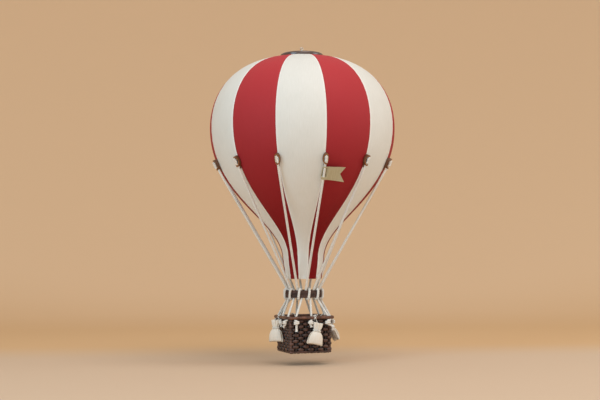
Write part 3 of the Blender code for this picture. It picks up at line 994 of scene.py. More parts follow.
@dataclass(frozen=True)
class MouldedPulp:
    """Moulded paper pulp inside the envelope: off-white, matte, felted and slightly lumpy."""

    name: str
    colour: str
    fibre_colour: str

    def build(self) -> bpy.types.Material:
        """Build the pulp's material.

        Returns:
            The material.
        """
        made, tree, shader = new_material(self.name)
        place = on_object(tree)
        felt = speckle(tree, place, 1200.0, 6.0, 0.7)
        height = compute(tree, "MULTIPLY_ADD", felt, 0.3, speckle(tree, place, 120.0, 2.0))
        colour = blend_colours(tree, felt, self.colour, self.fibre_colour)
        surface(shader, colour, height, {"Strength": 0.6, "Distance": 0.0004}, {"Roughness": 0.85})
        return made


@dataclass(frozen=True)
class BackdropPaper:
    """A seamless roll of coloured paper: paler on the floor as a painted pool of light, deeper where it
    starts to rise as painted shade.
    """

    name: str
    lit_floor_colour: str
    crease_shade_colour: str
    wall_colour: str
    crease_shade_span: Span = (0.06, 0.30)
    wall_span: Span = (0.55, 1.25)
    backwards: tuple[float, float, float] = (0.312, 0.950, 0.0)

    def build(self) -> bpy.types.Material:
        """Build the paper's material.

        Returns:
            The material.
        """
        made, tree, shader = new_material(self.name)
        reach = add_node(
            tree, "ShaderNodeVectorMath", {"operation": "DOT_PRODUCT", 1: self.backwards},
            {0: on_object(tree)},
        ).outputs["Value"]
        # Painted shade: the paper deepens from the lit floor's colour to the crease's colour where it
        # starts to rise.
        crease_shade = spread(tree, reach, self.crease_shade_span, smooth=True)
        colour = blend_colours(tree, crease_shade, self.lit_floor_colour, self.crease_shade_colour)
        wall = spread(tree, reach, self.wall_span, smooth=True)
        tree.links.new(blend_colours(tree, wall, colour, self.wall_colour), shader.inputs["Base Color"])
        shader.inputs["Roughness"].default_value = 0.95
        shader.inputs["Specular IOR Level"].default_value = 0.1
        return made


@dataclass(frozen=True)
class Softbox:
    """A round light behind diffusing cloth, aimed at the balloon's middle."""

    name: str
    place: tuple[float, float, float]
    size: float
    power: float
    colour: str

    def hang(self, target: Vector) -> None:
        """Add the light to the scene.

        Args:
            target: What it is aimed at.
        """
        deselect_all()
        bpy.ops.object.light_add(type="AREA", location=self.place)
        light = bpy.context.object
        light.name = self.name
        light.data.shape = "DISK"
        light.data.size = self.size
        light.data.energy = self.power
        light.data.color = linear(self.colour)[:3]
        light.rotation_euler = (target - light.location).to_track_quat("-Z", "Y").to_euler()
        light.visible_camera = False


@dataclass
class Studio:
    """The paper backdrop, the lights and the camera."""

    floor_z: float = -0.3430
    flat_reach: float = 0.85
    sweep_radius: float = 1.40
    sweep_steps: int = 12
    sweep_degrees: int = 7
    columns: int = 72
    front_from: float = -0.01
    same_place: float = 0.0001
    wall_top: float = 0.85
    # The paper's colours: the lit floor's colour is a painted pool of light, the crease's deeper colour
    # is painted shade, then the wall.
    backdrop: BackdropPaper = BackdropPaper("seamless_paper", "#DBC3A9", "#E0BC90", "#EFD0AC")
    air_colour: str = "#FFF4E8"
    air_strength: float = 0.52
    target: Vector = field(default_factory=lambda: Vector((0, 0, -0.13)))
    softboxes: tuple[Softbox, ...] = (
        Softbox("overhead_softbox", (0.10, -0.85, 1.30), 1.3, 12.2, "#FFF2EA"),
        Softbox("front_softbox", (-0.45, -1.65, 0.15), 1.2, 2.0, "#C8E4FF"),
        Softbox("right_softbox", (1.40, -0.80, 0.30), 0.9, 5.6, "#DFF1FA"),
        Softbox("left_softbox", (-1.50, -0.80, 0.20), 0.9, 8.6, "#B8E6FF"),
    )
    focal_pixels: float = 1143.0
    picture_width: float = 600.0
    sensor: float = 36.0
    nearest: float = 0.05
    distance: float = 1.239
    azimuth: float = -18.2
    camera_z: float = -0.2300
    pitch: float = 1.468
    aside: float = 0.156
    roll: float = -0.461
    lowered_rows: float = 30.0

    def build(self) -> None:
        """Make the backdrop, the lights and the camera."""
        self.make_backdrop()
        self.make_lights()
        self.make_camera()
        bpy.context.scene.view_settings.view_transform = "Standard"

    def make_backdrop(self) -> None:
        """Spin the floor and the wall it sweeps up into, and lay the front half flat."""
        centre = Vector((self.flat_reach, 0, self.floor_z + self.sweep_radius))
        outline = [Vector((0, 0, self.floor_z))]
        for step in range(self.sweep_steps + 1):
            turn = math.radians(-90 + step * self.sweep_degrees)
            outline.append(centre + self.sweep_radius * Vector((math.cos(turn), 0, math.sin(turn))))
        outline.append(Vector((outline[-1].x, 0, self.wall_top)))
        made = to_mesh(new_curve("paper_backdrop", outline, False))
        spin(made, self.columns)
        with editing(made):
            pick(made, Pick.VERTS, lambda v: v.co.y < self.front_from)
            bpy.ops.transform.resize(value=(1, 1, 0), center_override=(0, 0, self.floor_z))
            bpy.ops.mesh.select_all(action="SELECT")
            bpy.ops.mesh.remove_doubles(threshold=self.same_place)
            turn_faces(inside=True)
        shade(made)
        dress(made, self.backdrop.build())

    def make_lights(self) -> None:
        """Fill the room with soft light and hang the softboxes."""
        world = bpy.data.worlds.new("studio_air")
        world.use_nodes = True
        air = world.node_tree.nodes["Background"]
        air.inputs["Color"].default_value = linear(self.air_colour)
        air.inputs["Strength"].default_value = self.air_strength
        bpy.context.scene.world = world
        for softbox in self.softboxes:
            softbox.hang(self.target)

    def make_camera(self) -> None:
        """Stand the camera where the photograph was taken from."""
        turn = math.radians(self.azimuth)
        place = self.distance * Vector((math.sin(turn), -math.cos(turn), 0))
        place.z = self.camera_z
        deselect_all()
        bpy.ops.object.camera_add(location=place)
        camera = bpy.context.object
        camera.name = "studio_camera"
        camera.data.sensor_width = self.sensor
        camera.data.lens = self.sensor * self.focal_pixels / self.picture_width
        camera.data.shift_y = self.lowered_rows / self.picture_width
        camera.data.clip_start = self.nearest
        level = Matrix.Rotation(turn + math.radians(self.aside), 4, "Z")
        tilted = Matrix.Rotation(math.radians(90 + self.pitch), 4, "X")
        rolled = Matrix.Rotation(math.radians(self.roll), 4, "Z")
        camera.rotation_euler = (level @ tilted @ rolled).to_euler()
        bpy.context.scene.camera = camera


@dataclass(frozen=True)
class EnvelopeOutline:
    """The outside of the cotton from the crown to the mouth, as radius and height."""

    radius: float = 0.1000
    equator_z: float = -0.0882
    crown_radius: float = 0.0165
    crown_rise: float = 0.0776
    crown_slope: float = 0.050
    crown_handle: float = 0.0605
    crown_lead: float = 0.002
    upper_handle: float = 0.0365
    lower_handle: float = 0.0752
    neck_handle: float = 0.0412
    neck_radius: float = 0.0225
    neck_drop: float = 0.1415
    neck_lean: float = 0.08
    mouth_radius: float = 0.0192
    mouth_drop: float = 0.1627

    def lower_curve(self) -> list[Vector]:
        """Draw the outline below the widest level as a cubic curve.

        Returns:
            Its four control points, from the widest level to the neck.
        """
        neck_z = self.equator_z - self.neck_drop
        return [
            Vector((self.radius, self.equator_z)),
            Vector((self.radius, self.equator_z - self.lower_handle)),
            Vector((self.neck_radius, neck_z + self.neck_handle)),
            Vector((self.neck_radius, neck_z)),
        ]

    def bezier_points(self) -> list[tuple[Vector, Vector, Vector]]:
        """Give the outline's curve points, each with its handles before and after it.

        Returns:
            The crown, widest, neck and mouth points.
        """
        widest, under, over_neck, neck = self.lower_curve()
        crown = Vector((self.crown_radius, self.equator_z + self.crown_rise))
        slope = Vector((math.cos(self.crown_slope), -math.sin(self.crown_slope)))
        mouth = Vector((self.mouth_radius, self.equator_z - self.mouth_drop))
        above = Vector((self.radius, self.equator_z + self.upper_handle))
        third = (neck - mouth) / 3
        return [
            (crown - self.crown_lead * slope, crown, crown + self.crown_handle * slope),
            (above, widest, under),
            (over_neck, neck, neck - third.length * Vector((self.neck_lean, 1))),
            (mouth + third, mouth, mouth - third),
        ]

    def seam_angle(self, i: int) -> float:
        """Give a seam's direction about the upright axis."""
        return FIRST_SEAM + i * GORE_ANGLE

    def on_seam(self, i: int, share: float) -> Matrix:
        """Find a place on a seam below the widest level.

        Args:
            i: The seam's number.
            share: How far down the lower curve it is.

        Returns:
            Its frame: X along the level, Y up the cloth, Z out of it.
        """
        spot, slope = on_bezier(self.lower_curve(), share)
        angle = self.seam_angle(i)
        up = around(angle, -slope.x, -slope.y)
        out = around(angle, -slope.y, slope.x)
        return frame_at(around(angle, spot.x, spot.y), up.cross(out), up, out)


@dataclass
class Envelope:
    """The moulded shell and the twelve sewn cotton gores over it."""

    outline: EnvelopeOutline = EnvelopeOutline()
    curve_steps: int = 44
    columns: int = 30
    seam_gap: float = math.radians(0.04)
    seam_sink: float = 0.00042
    seam_reach: float = 0.0009
    pucker: float = 0.00010
    pucker_length: float = 0.0085
    pucker_fade: float = 0.005
    pucker_shift: float = 1.7
    wobble: float = 0.00018
    wobble_margin: float = 0.004
    hem: float = 0.0034
    hem_rise: float = 0.00022
    cloth_thickness: float = 0.00045
    white: PlainWeave = PlainWeave(
        "bleached_cotton", "#E9E9E3", "#E3E3DC", edge_colour="#F6F5F0"
    )
    # The red is painted lighter towards the crown, as painted light from above.
    red: PlainWeave = PlainWeave(
        "red_dyed_cotton", "#85080F", "#7D060D", sheen=0.0, shine=0.2, ridge_at=0.0052,
        painted_light_colour="#C03C42"
    )
    pulp: MouldedPulp = MouldedPulp("moulded_pulp", "#D9CDB8", "#C4B59B")

    def build(self) -> None:
        """Sew the gores and give the shell its finish."""
        finishes = {Cloth.WHITE: self.white.build(), Cloth.RED: self.red.build()}
        for first, cloth in enumerate(Cloth):
            pattern = self.gore_pattern(cloth)
            dress(pattern, finishes[cloth])
            apply_modifier(
                pattern, "SOLIDIFY", thickness=self.cloth_thickness, offset=-1.0,
                use_even_offset=True,
            )
            shade(pattern, 60)
            for i in range(first, GORES, 2):
                turned = Matrix.Rotation(self.outline.seam_angle(i), 4, "Z")
                gore = copy_of(pattern, f"sewn_gore_{i + 1:02d}", turned)
                hand_over(gore, f"gore_{i + 1:02d}_{cloth.value}")
            discard(pattern)
        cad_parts["envelope_shell"].material_slots[0].material = self.pulp.build()

    def gore_pattern(self, cloth: Cloth) -> bpy.types.Object:
        """Cut one gore: spin the outline over its angle, close to its seams, then shape it.

        Args:
            cloth: Which cotton it is.

        Returns:
            The gore as a single surface that starts at the direction of X.
        """
        deselect_all()
        bpy.ops.curve.primitive_bezier_curve_add(radius=1, location=(0, 0, 0))
        curve = bpy.context.object
        spline = curve.data.splines[0]
        points = self.outline.bezier_points()
        spline.bezier_points.add(len(points) - len(spline.bezier_points))
        spline.resolution_u = self.curve_steps
        for point, (before, place, after) in zip(spline.bezier_points, points):
            point.handle_left_type = point.handle_right_type = "FREE"
            point.co = (place.x, 0, place.y)
            point.handle_left = (before.x, 0, before.y)
            point.handle_right = (after.x, 0, after.y)
        gore = to_mesh(curve)
        gore.name = f"{cloth.value}_gore_pattern"
        spin(gore, self.columns, -GORE_ANGLE)
        close_up(gore)
        self.shape_gore(gore, cloth)
        return gore

    def shape_gore(self, gore: bpy.types.Object, cloth: Cloth) -> None:
        """Space a gore's columns, map it in metres and shape its seams, puckers and hem.

        Args:
            gore: The spun surface.
            cloth: Which cotton it is.
        """
        profile = sorted({(round(v.co.z, 7), round(v.co.xy.length, 7)) for v in gore.data.vertices})
        heights = {profile[0][0]: 0.0}
        length = 0.0
        for (z0, r0), (z1, r1) in zip(profile, profile[1:]):
            length += math.hypot(z1 - z0, r1 - r0)
            heights[z1] = length
        places = []
        for vert in gore.data.vertices:
            radius = vert.co.xy.length
            along = heights[round(vert.co.z, 7)]
            raw = abs(math.atan2(vert.co.y, vert.co.x)) / GORE_ANGLE
            share = 0.5 - 0.5 * math.cos(math.pi * min(1.0, raw))
            width = radius * GORE_ANGLE
            angle = self.seam_gap / 2 + share * (GORE_ANGLE - self.seam_gap)
            edge = min(share, 1 - share) * width
            places.append(((share - 0.5) * width, along, edge))
            rise = self.relief(cloth, share, along, edge)
            out = vert.normal.xy.length
            vert.co = around(angle, radius + rise * out, vert.co.z + rise * vert.normal.z)
        for name in ("UVMap", "Seam"):
            layer = gore.data.uv_layers.new(name=name)
            for loop, entry in zip(gore.data.loops, layer.data):
                across, along, edge = places[loop.vertex_index]
                entry.uv = (across, along) if name == "UVMap" else (edge, along)

    def relief(self, cloth: Cloth, share: float, along: float, edge: float) -> float:
        """Give the cloth's rise from the outline at one place.

        Args:
            cloth: Which cotton it is.
            share: How far across the gore it is.
            along: Its distance from the mouth.
            edge: Its distance from the nearest seam.

        Returns:
            The rise, in metres.
        """
        rise = -self.seam_sink * max(0.0, 1 - edge / self.seam_reach) ** 2
        side = self.pucker_shift if share > 0.5 else 0.0
        wave = math.sin(2 * math.pi * along / self.pucker_length + side + 3 * math.sin(along * 90))
        rise += self.pucker * wave * math.exp(-edge / self.pucker_fade)
        spot = Vector((share * 5, along * 28, 7.0 if cloth is Cloth.RED else 2.0))
        rise += self.wobble * noise.noise(spot) * min(1.0, edge / self.wobble_margin)
        if along < self.hem:
            rise += self.hem_rise
        return rise


@dataclass
class Crown:
    """The turned disc over the tops of the gores, with its wire eye."""

    outline: EnvelopeOutline = EnvelopeOutline()
    radius: float = 0.0234
    top_rise: float = 0.0815
    edge: float = 0.0022
    edge_steps: int = 12
    dish: float = 0.0001
    dish_middle: float = 0.00002
    lip_in: float = 0.00015
    lip_rise: float = 0.0003
    under_in: float = 0.0006
    bore: float = 0.0010
    columns: int = 96
    wood: TurnedWood = TurnedWood("lacquered_beech", "#4A3730", "#6B564C")
    wire: SteelWire = SteelWire("drawn_steel", "#D2CEC6", "#A8A39A")

    def build(self) -> None:
        """Turn the disc and give the eye its finish."""
        disc = to_mesh(new_curve("turned_crown_disc", self.profile(), True))
        spin(disc, self.columns)
        close_up(disc)
        shade(disc, 35)
        dress(disc, self.wood.build())
        hand_over(disc, "crown_disc")
        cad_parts["hanging_eye"].material_slots[0].material = self.wire.build()

    def profile(self) -> list[Vector]:
        """Outline the disc's section: over its dished top, round its edge, and back under it.

        Returns:
            The closed outline, from the bore.
        """
        top = self.outline.equator_z + self.top_rise
        under = self.outline.equator_z + self.outline.crown_rise + GAP
        slope = self.outline.crown_slope
        rim = under - (self.radius - self.outline.crown_radius) * slope
        places = [(self.bore, top), (self.radius * 0.5, top - self.dish_middle)]
        for share in shares(self.edge_steps):
            turn = share * math.pi / 2
            radius = self.radius - self.edge * (1 - math.sin(turn))
            places.append((radius, top - self.dish - self.edge * (1 - math.cos(turn))))
        places += [
            (self.radius - self.lip_in, rim + self.lip_rise), (self.radius - self.under_in, rim),
            (self.outline.crown_radius, under),
            (self.bore, under + self.outline.crown_radius * slope / 2),
        ]
        return [Vector((radius, 0, height)) for radius, height in places]


@dataclass
class LeatherLoops:
    """Twelve closed leather bands that stand on the seams, each with a small tab below it."""

    outline: EnvelopeOutline = EnvelopeOutline()
    share: float = 0.199
    half_width: float = 0.0024
    half_height: float = 0.0052
    thickness: float = 0.00115
    end_depth: float = 0.0048
    middle_depth: float = 0.0026
    sides: int = 56
    rows: int = 3
    band_edge: float = 0.00022
    tab: tuple[float, float, float] = (0.0028, 0.0042, 0.0006)
    tab_overlap: float = 0.0006
    tab_taper: float = 0.55
    tab_corner: float = 0.0008
    tab_edge: float = 0.00012
    cut_from: float = 0.75
    face: Leather = Leather("tanned_leather", "#6E4529", "#432614", roughness=0.5)
    cut: Leather = Leather("cut_leather_edge", "#A9703F", "#80502B", pebble=0.0003, roughness=0.7)

    def build(self) -> None:
        """Make one loop and set a copy of it on each seam."""
        pattern = join("loop_pattern", [self.band(), self.make_tab()])
        shade(pattern, 40)
        dress(pattern, self.face.build(), self.cut.build())
        for face in pattern.data.polygons:
            face.material_index = 1 if face.normal.z > self.cut_from else 0
        for i in range(GORES):
            loop = copy_of(pattern, f"stitched_loop_{i + 1:02d}", self.outline.on_seam(i, self.share))
            hand_over(loop, f"leather_loop_{i + 1:02d}")
        discard(pattern)

    def band(self) -> bpy.types.Object:
        """Bend the band: an oval, drawn up to its depth, thickened and rounded at its edges.

        Returns:
            The band, flat on the plane of X and Y.
        """
        made = new_ring("loop_band", self.sides, GAP)
        with editing(made):
            bpy.ops.mesh.select_all(action="SELECT")
            bpy.ops.transform.resize(value=(self.half_width, self.half_height, 1))
            for _ in range(self.rows):
                extrude_up(self.middle_depth / self.rows)
            turn_faces()
        settle(made)
        for vert in made.data.vertices:
            high = (vert.co.z - GAP) / self.middle_depth
            end = (vert.co.y / self.half_height) ** 2
            vert.co.z = GAP + high * (self.middle_depth + (self.end_depth - self.middle_depth) * end)
        apply_modifier(
            made, "SOLIDIFY", thickness=self.thickness, offset=0.0, use_even_offset=True
        )
        apply_modifier(
            made, "BEVEL", width=self.band_edge, segments=2, limit_method="ANGLE",
            angle_limit=math.radians(50),
        )
        return made

    def make_tab(self) -> bpy.types.Object:
        """Cut the tab that the band is glued down with.

        Returns:
            The tab, below the band's lower end.
        """
        wide, long, thick = self.tab
        middle = -self.half_height - long / 2
        deselect_all()
        bpy.ops.mesh.primitive_cube_add(
            size=1, location=(0, middle + self.tab_overlap, GAP + thick / 2)
        )
        made = bpy.context.object
        made.scale = (wide, long, thick)
        settle(made)
        with editing(made):
            pick(made, Pick.VERTS, lambda v: v.co.y < middle)
            bpy.ops.transform.resize(value=(self.tab_taper, 1, 1), center_override=(0, 0, 0))
            pick(made, Pick.EDGES, lambda e: abs(e.verts[0].co.z - e.verts[1].co.z) > thick / 2)
            bpy.ops.mesh.bevel(offset=self.tab_corner, segments=4, affect="EDGES")
        apply_modifier(
            made, "BEVEL", width=self.tab_edge, segments=2, limit_method="ANGLE",
            angle_limit=math.radians(60),
        )
        return made


@dataclass(frozen=True)
class Side:
    """One side of the basket, with where its sand bag and its knots hang."""

    name: str
    turn: float
    string_place: float
    bag_place: float
    bag_depth: float
    bag_bottom: float
    bag_lean: float
    bag_turn: float
    bag_swing: float
    middle_knot: float
    last_tail: float

    def at(self, place: float, depth: float, height: float) -> Vector:
        """Give a point by its place along this side, its depth from the middle and its height."""
        return Matrix.Rotation(math.radians(self.turn), 3, "Z") @ Vector((place, -depth, height))


SIDES = (
    Side("front", 0, 0.0030, 0.0017, 0.0293, -0.3210, 12, 0, 0, -0.0012, 0.0060),
    Side("right", 90, 0.0030, 0.0020, 0.0293, -0.3226, 10, 0, 19, -0.0034, 0.0050),
    Side("back", 180, 0.0030, 0.0017, 0.0293, -0.3210, 12, 0, 0, -0.0034, 0.0060),
    Side("left", 270, -0.0030, -0.0022, 0.0308, -0.3190, -2, 40, 0, 0.0034, -0.0050),
)


@dataclass(frozen=True)
class RimPlace:
    """Where the rim's rods run, and where the cords cross it."""

    half: float = 0.02415
    corner: float = 0.0055
    height: float = -0.2921
    rod_radius: float = 0.0017
    cord_places: tuple[float, float, float] = (-0.0170, 0.0005, 0.0200)
    crossing_depth: float = 0.0246

    @property
    def underside(self) -> float:
        """Give the height of the rods' undersides."""
        return self.height - self.rod_radius


@dataclass
class LoadRing:
    """The ring between the mouth and the basket: five dark rods wound one on the other."""

    radius: float = 0.0198
    rods: int = 5
    rod_radius: float = 0.0008
    step: float = 0.00158
    top_z: float = -0.2632
    unevenness: float = 0.00010
    thinning: float = 0.06
    turns: int = 120
    fibre: StainedRod = StainedRod("dyed_fibre_rod", "#3D2B25", "#6B4B40", roughness=0.5)

    @property
    def bottom_z(self) -> float:
        """Give the height of the lowest rod's underside."""
        return self.top_z - (self.rods - 1) * self.step - 2 * self.rod_radius

    def build(self) -> None:
        """Wind the ring's rods."""
        middle = self.radius - self.rod_radius
        parts = []
        for rod in range(self.rods):
            height = self.bottom_z + self.rod_radius + rod * self.step
            run = []
            for k in range(self.turns):
                angle = 2 * math.pi * k / self.turns
                spot = Vector((2 * math.cos(angle), 2 * math.sin(angle), 3.7 * rod))
                out = self.unevenness * noise.noise(spot)
                size = 1 + self.thinning * noise.noise(spot * 2.3)
                run.append(sized(around(angle, middle + out, height), size))
            section = round_section(self.rod_radius, 14)
            parts.append(sweep(f"ring_rod_{rod}", run, section, closed=True, upright=True))
        ring = join("wound_load_ring", parts)
        dress(ring, self.fibre.build())
        hand_over(ring, "load_ring")


@dataclass
class Rigging:
    """The twelve laid cords, from their knots in the loops, round the ring, to the rim."""

    outline: EnvelopeOutline = EnvelopeOutline()
    loops: LeatherLoops = field(default_factory=LeatherLoops)
    ring: LoadRing = field(default_factory=LoadRing)
    rim: RimPlace = RimPlace()
    look_radius: float = 0.00128
    groove: float = 0.15
    pitch: float = 0.0068
    step: float = 0.0008
    loop_lift: float = 0.0027
    knot_lift: float = 0.0047
    wrap_radius: float = 0.00095
    wrap_cord: float = 0.62
    wrap_turns: float = 4.0
    wrap_half: float = 0.0031
    start_drop: float = 0.0080
    hitch_spread: float = 0.0046
    hitch_cord: float = 1.1
    rim_cord: float = 0.85
    exit_share: float = 0.12
    knot_depth: float = 0.0272
    knot_wide: float = 0.00220
    knot_deep: float = 0.00140
    knot_turns: float = 1.6
    knot_start: float = 250.0
    knot_drop: float = 0.0034
    knot_half: float = 0.00125
    knot_beyond: float = 0.0008
    knot_cord: float = 0.84
    last_knot_shift: float = -0.0020
    straight_tail: float = 0.0125
    side_tail: float = 0.0080
    cotton: LaidCotton = LaidCotton("laid_cotton", "#FAF7F0", "#DDD5C6")

    def build(self) -> None:
        """Lay the twelve cords."""
        finish = self.cotton.build()
        section = laid_section(self.look_radius, 3, 6, self.groove)
        for i in range(GORES):
            side = SIDES[i // 3]
            place = self.rim.cord_places[i % 3]
            leave = self.hitch(i)[-1]
            cross = side.at(place, self.rim.crossing_depth, self.rim.height)
            points = self.loop_knot(i)
            points += [sized(spot, self.hitch_cord) for spot in self.hitch(i)]
            points += [
                sized(leave.lerp(cross, 0.3), 1.0), sized(leave.lerp(cross, 0.75), 1.0),
                sized(cross, self.rim_cord),
                sized(cross.lerp(leave, -self.exit_share), self.rim_cord),
            ]
            points += self.rim_knot(i)
            run = smooth_run(points, self.step)
            cord = sweep(f"laid_cord_{i + 1:02d}", run, section, pitch=self.pitch)
            dress(cord, finish)
            hand_over(cord, f"suspension_cord_{i + 1:02d}")

    def loop_knot(self, i: int) -> list[Vector]:
        """Tie a cord's end in its loop: up round itself in close turns, and back down inside them.

        Args:
            i: The cord's number.

        Returns:
            The run from the cord's tucked end to below the loop.
        """
        place = self.outline.on_seam(i, self.loops.share)
        points = []
        for share in shares(36):
            turn = math.radians(20 * (i % 3)) + 2 * math.pi * self.wrap_turns * share
            height = -self.wrap_half + 2 * self.wrap_half * share
            spot = Vector((
                self.wrap_radius * math.sin(turn), height,
                self.knot_lift + self.wrap_radius * math.cos(turn),
            ))
            points.append(sized(place @ spot, self.wrap_cord))
        rows = (
            (0.0036, self.knot_lift, 0.60), (0.0022, self.knot_lift, 0.55),
            (-0.0020, self.knot_lift, 0.60), (-0.0036, 0.0033, 0.80),
            (-0.0050, self.loop_lift, 0.92), (-self.start_drop, self.loop_lift, 0.97),
        )
        for height, lift, size in rows:
            points.append(sized(place @ Vector((0, height, lift)), size))
        return points

    def hitch(self, i: int) -> list[Vector]:
        """Turn a cord round the ring: in over its top, under, up outside, over and down inside.

        Args:
            i: The cord's number.

        Returns:
            The turn's points.
        """
        top = self.ring.top_z - self.ring.rod_radius
        bottom = self.ring.bottom_z + self.ring.rod_radius
        rounds = [(top, 150), (top, 180)]
        rounds += [(bottom, degrees) for degrees in range(180, 361, 30)]
        rounds += [(top, degrees) for degrees in range(360, 541, 30)]
        rounds += [(bottom, 540), (bottom, 564)]
        reach = self.ring.rod_radius + self.hitch_cord * self.look_radius
        path = []
        for height, degrees in rounds:
            turned = math.radians(degrees)
            radius = self.ring.radius - self.ring.rod_radius + reach * math.cos(turned)
            path.append(Vector((radius, height + reach * math.sin(turned))))
        angle = FIRST_HITCH + i * GORE_ANGLE
        along = Vector((-math.sin(angle), math.cos(angle), 0))
        steps = [0.0] + [(after - before).length for before, after in zip(path, path[1:])]
        points = []
        for k, spot in enumerate(path):
            share = sum(steps[:k + 1]) / sum(steps)
            points.append(around(angle, spot.x, spot.y) + along * (share - 0.5) * self.hitch_spread)
        return points

    def rim_knot(self, i: int) -> list[Vector]:
        """Tie a cord's lower end in an overhand knot under the rim, and leave it a tail.

        Args:
            i: The cord's number.

        Returns:
            The run from the knot to the tail's end.
        """
        side = SIDES[i // 3]
        kind = i % 3
        first, _, last = self.rim.cord_places
        place = (first, side.middle_knot, last + self.last_knot_shift)[kind]
        middle = self.rim.underside - self.knot_drop
        mirror = -1 if kind == 1 else 1
        low = -self.knot_half - self.knot_beyond
        spots = [(0, 0, -low), (0, 0, 0), (0.0004, -0.0002, low)]
        for share in shares(16):
            turn = math.radians(self.knot_start) - 2 * math.pi * self.knot_turns * share
            spots.append((
                self.knot_wide * math.cos(turn), self.knot_deep * math.sin(turn),
                self.knot_half * (2 * share - 1),
            ))
        spots += [(0.0010, -0.0008, 0), (0.0003, -0.0004, low)]
        points = []
        for x, out, lift in spots:
            spot = side.at(place + mirror * x, self.knot_depth + out, middle + lift)
            points.append(sized(spot, self.knot_cord))
        tails = (
            ((0, 0.0068, 0.95), (0, 0.0096, 0.95), (0, 0.0116, 1.05), (0, self.straight_tail, 1.35)),
            ((0.0006, 0.0066, 1.0), (0.0010, 0.0082, 1.35)),
            (
                (0.30 * side.last_tail, 0.0058, 0.95),
                (0.70 * side.last_tail, 0.0068, 1.0),
                (side.last_tail, self.side_tail, 1.35),
            ),
        )[kind]
        for shift, drop, size in tails:
            spot = side.at(place + shift, self.knot_depth - 2 * GAP, self.rim.underside - drop)
            points.append(sized(spot, size))
        return points


def rounded_square(half: float, corner: float, height: float, step: float) -> list[Vector]:
    """Run round a square with round corners, counter-clockwise from the middle of its right side.

    Args:
        half: Half of the square's side.
        corner: The radius of its corners.
        height: The height of the run.
        step: About how far apart its points are.

    Returns:
        The points, evenly spaced.
    """
    straight = 2 * (half - corner)
    arc = math.pi / 2 * corner
    total = 4 * (straight + arc)
    count = round(total / step)
    points = []
    for k in range(count):
        quarter, rest = divmod(k / count * total + straight / 2, straight + arc)
        if rest < straight:
            spot = Vector((half, rest - straight / 2, 0))
        else:
            turn = (rest - straight) / corner
            spot = Vector((
                half - corner + corner * math.cos(turn), straight / 2 + corner * math.sin(turn), 0
            ))
        spot = Matrix.Rotation(quarter * math.pi / 2, 3, "Z") @ spot
        spot.z = height
        points.append(spot)
    return points


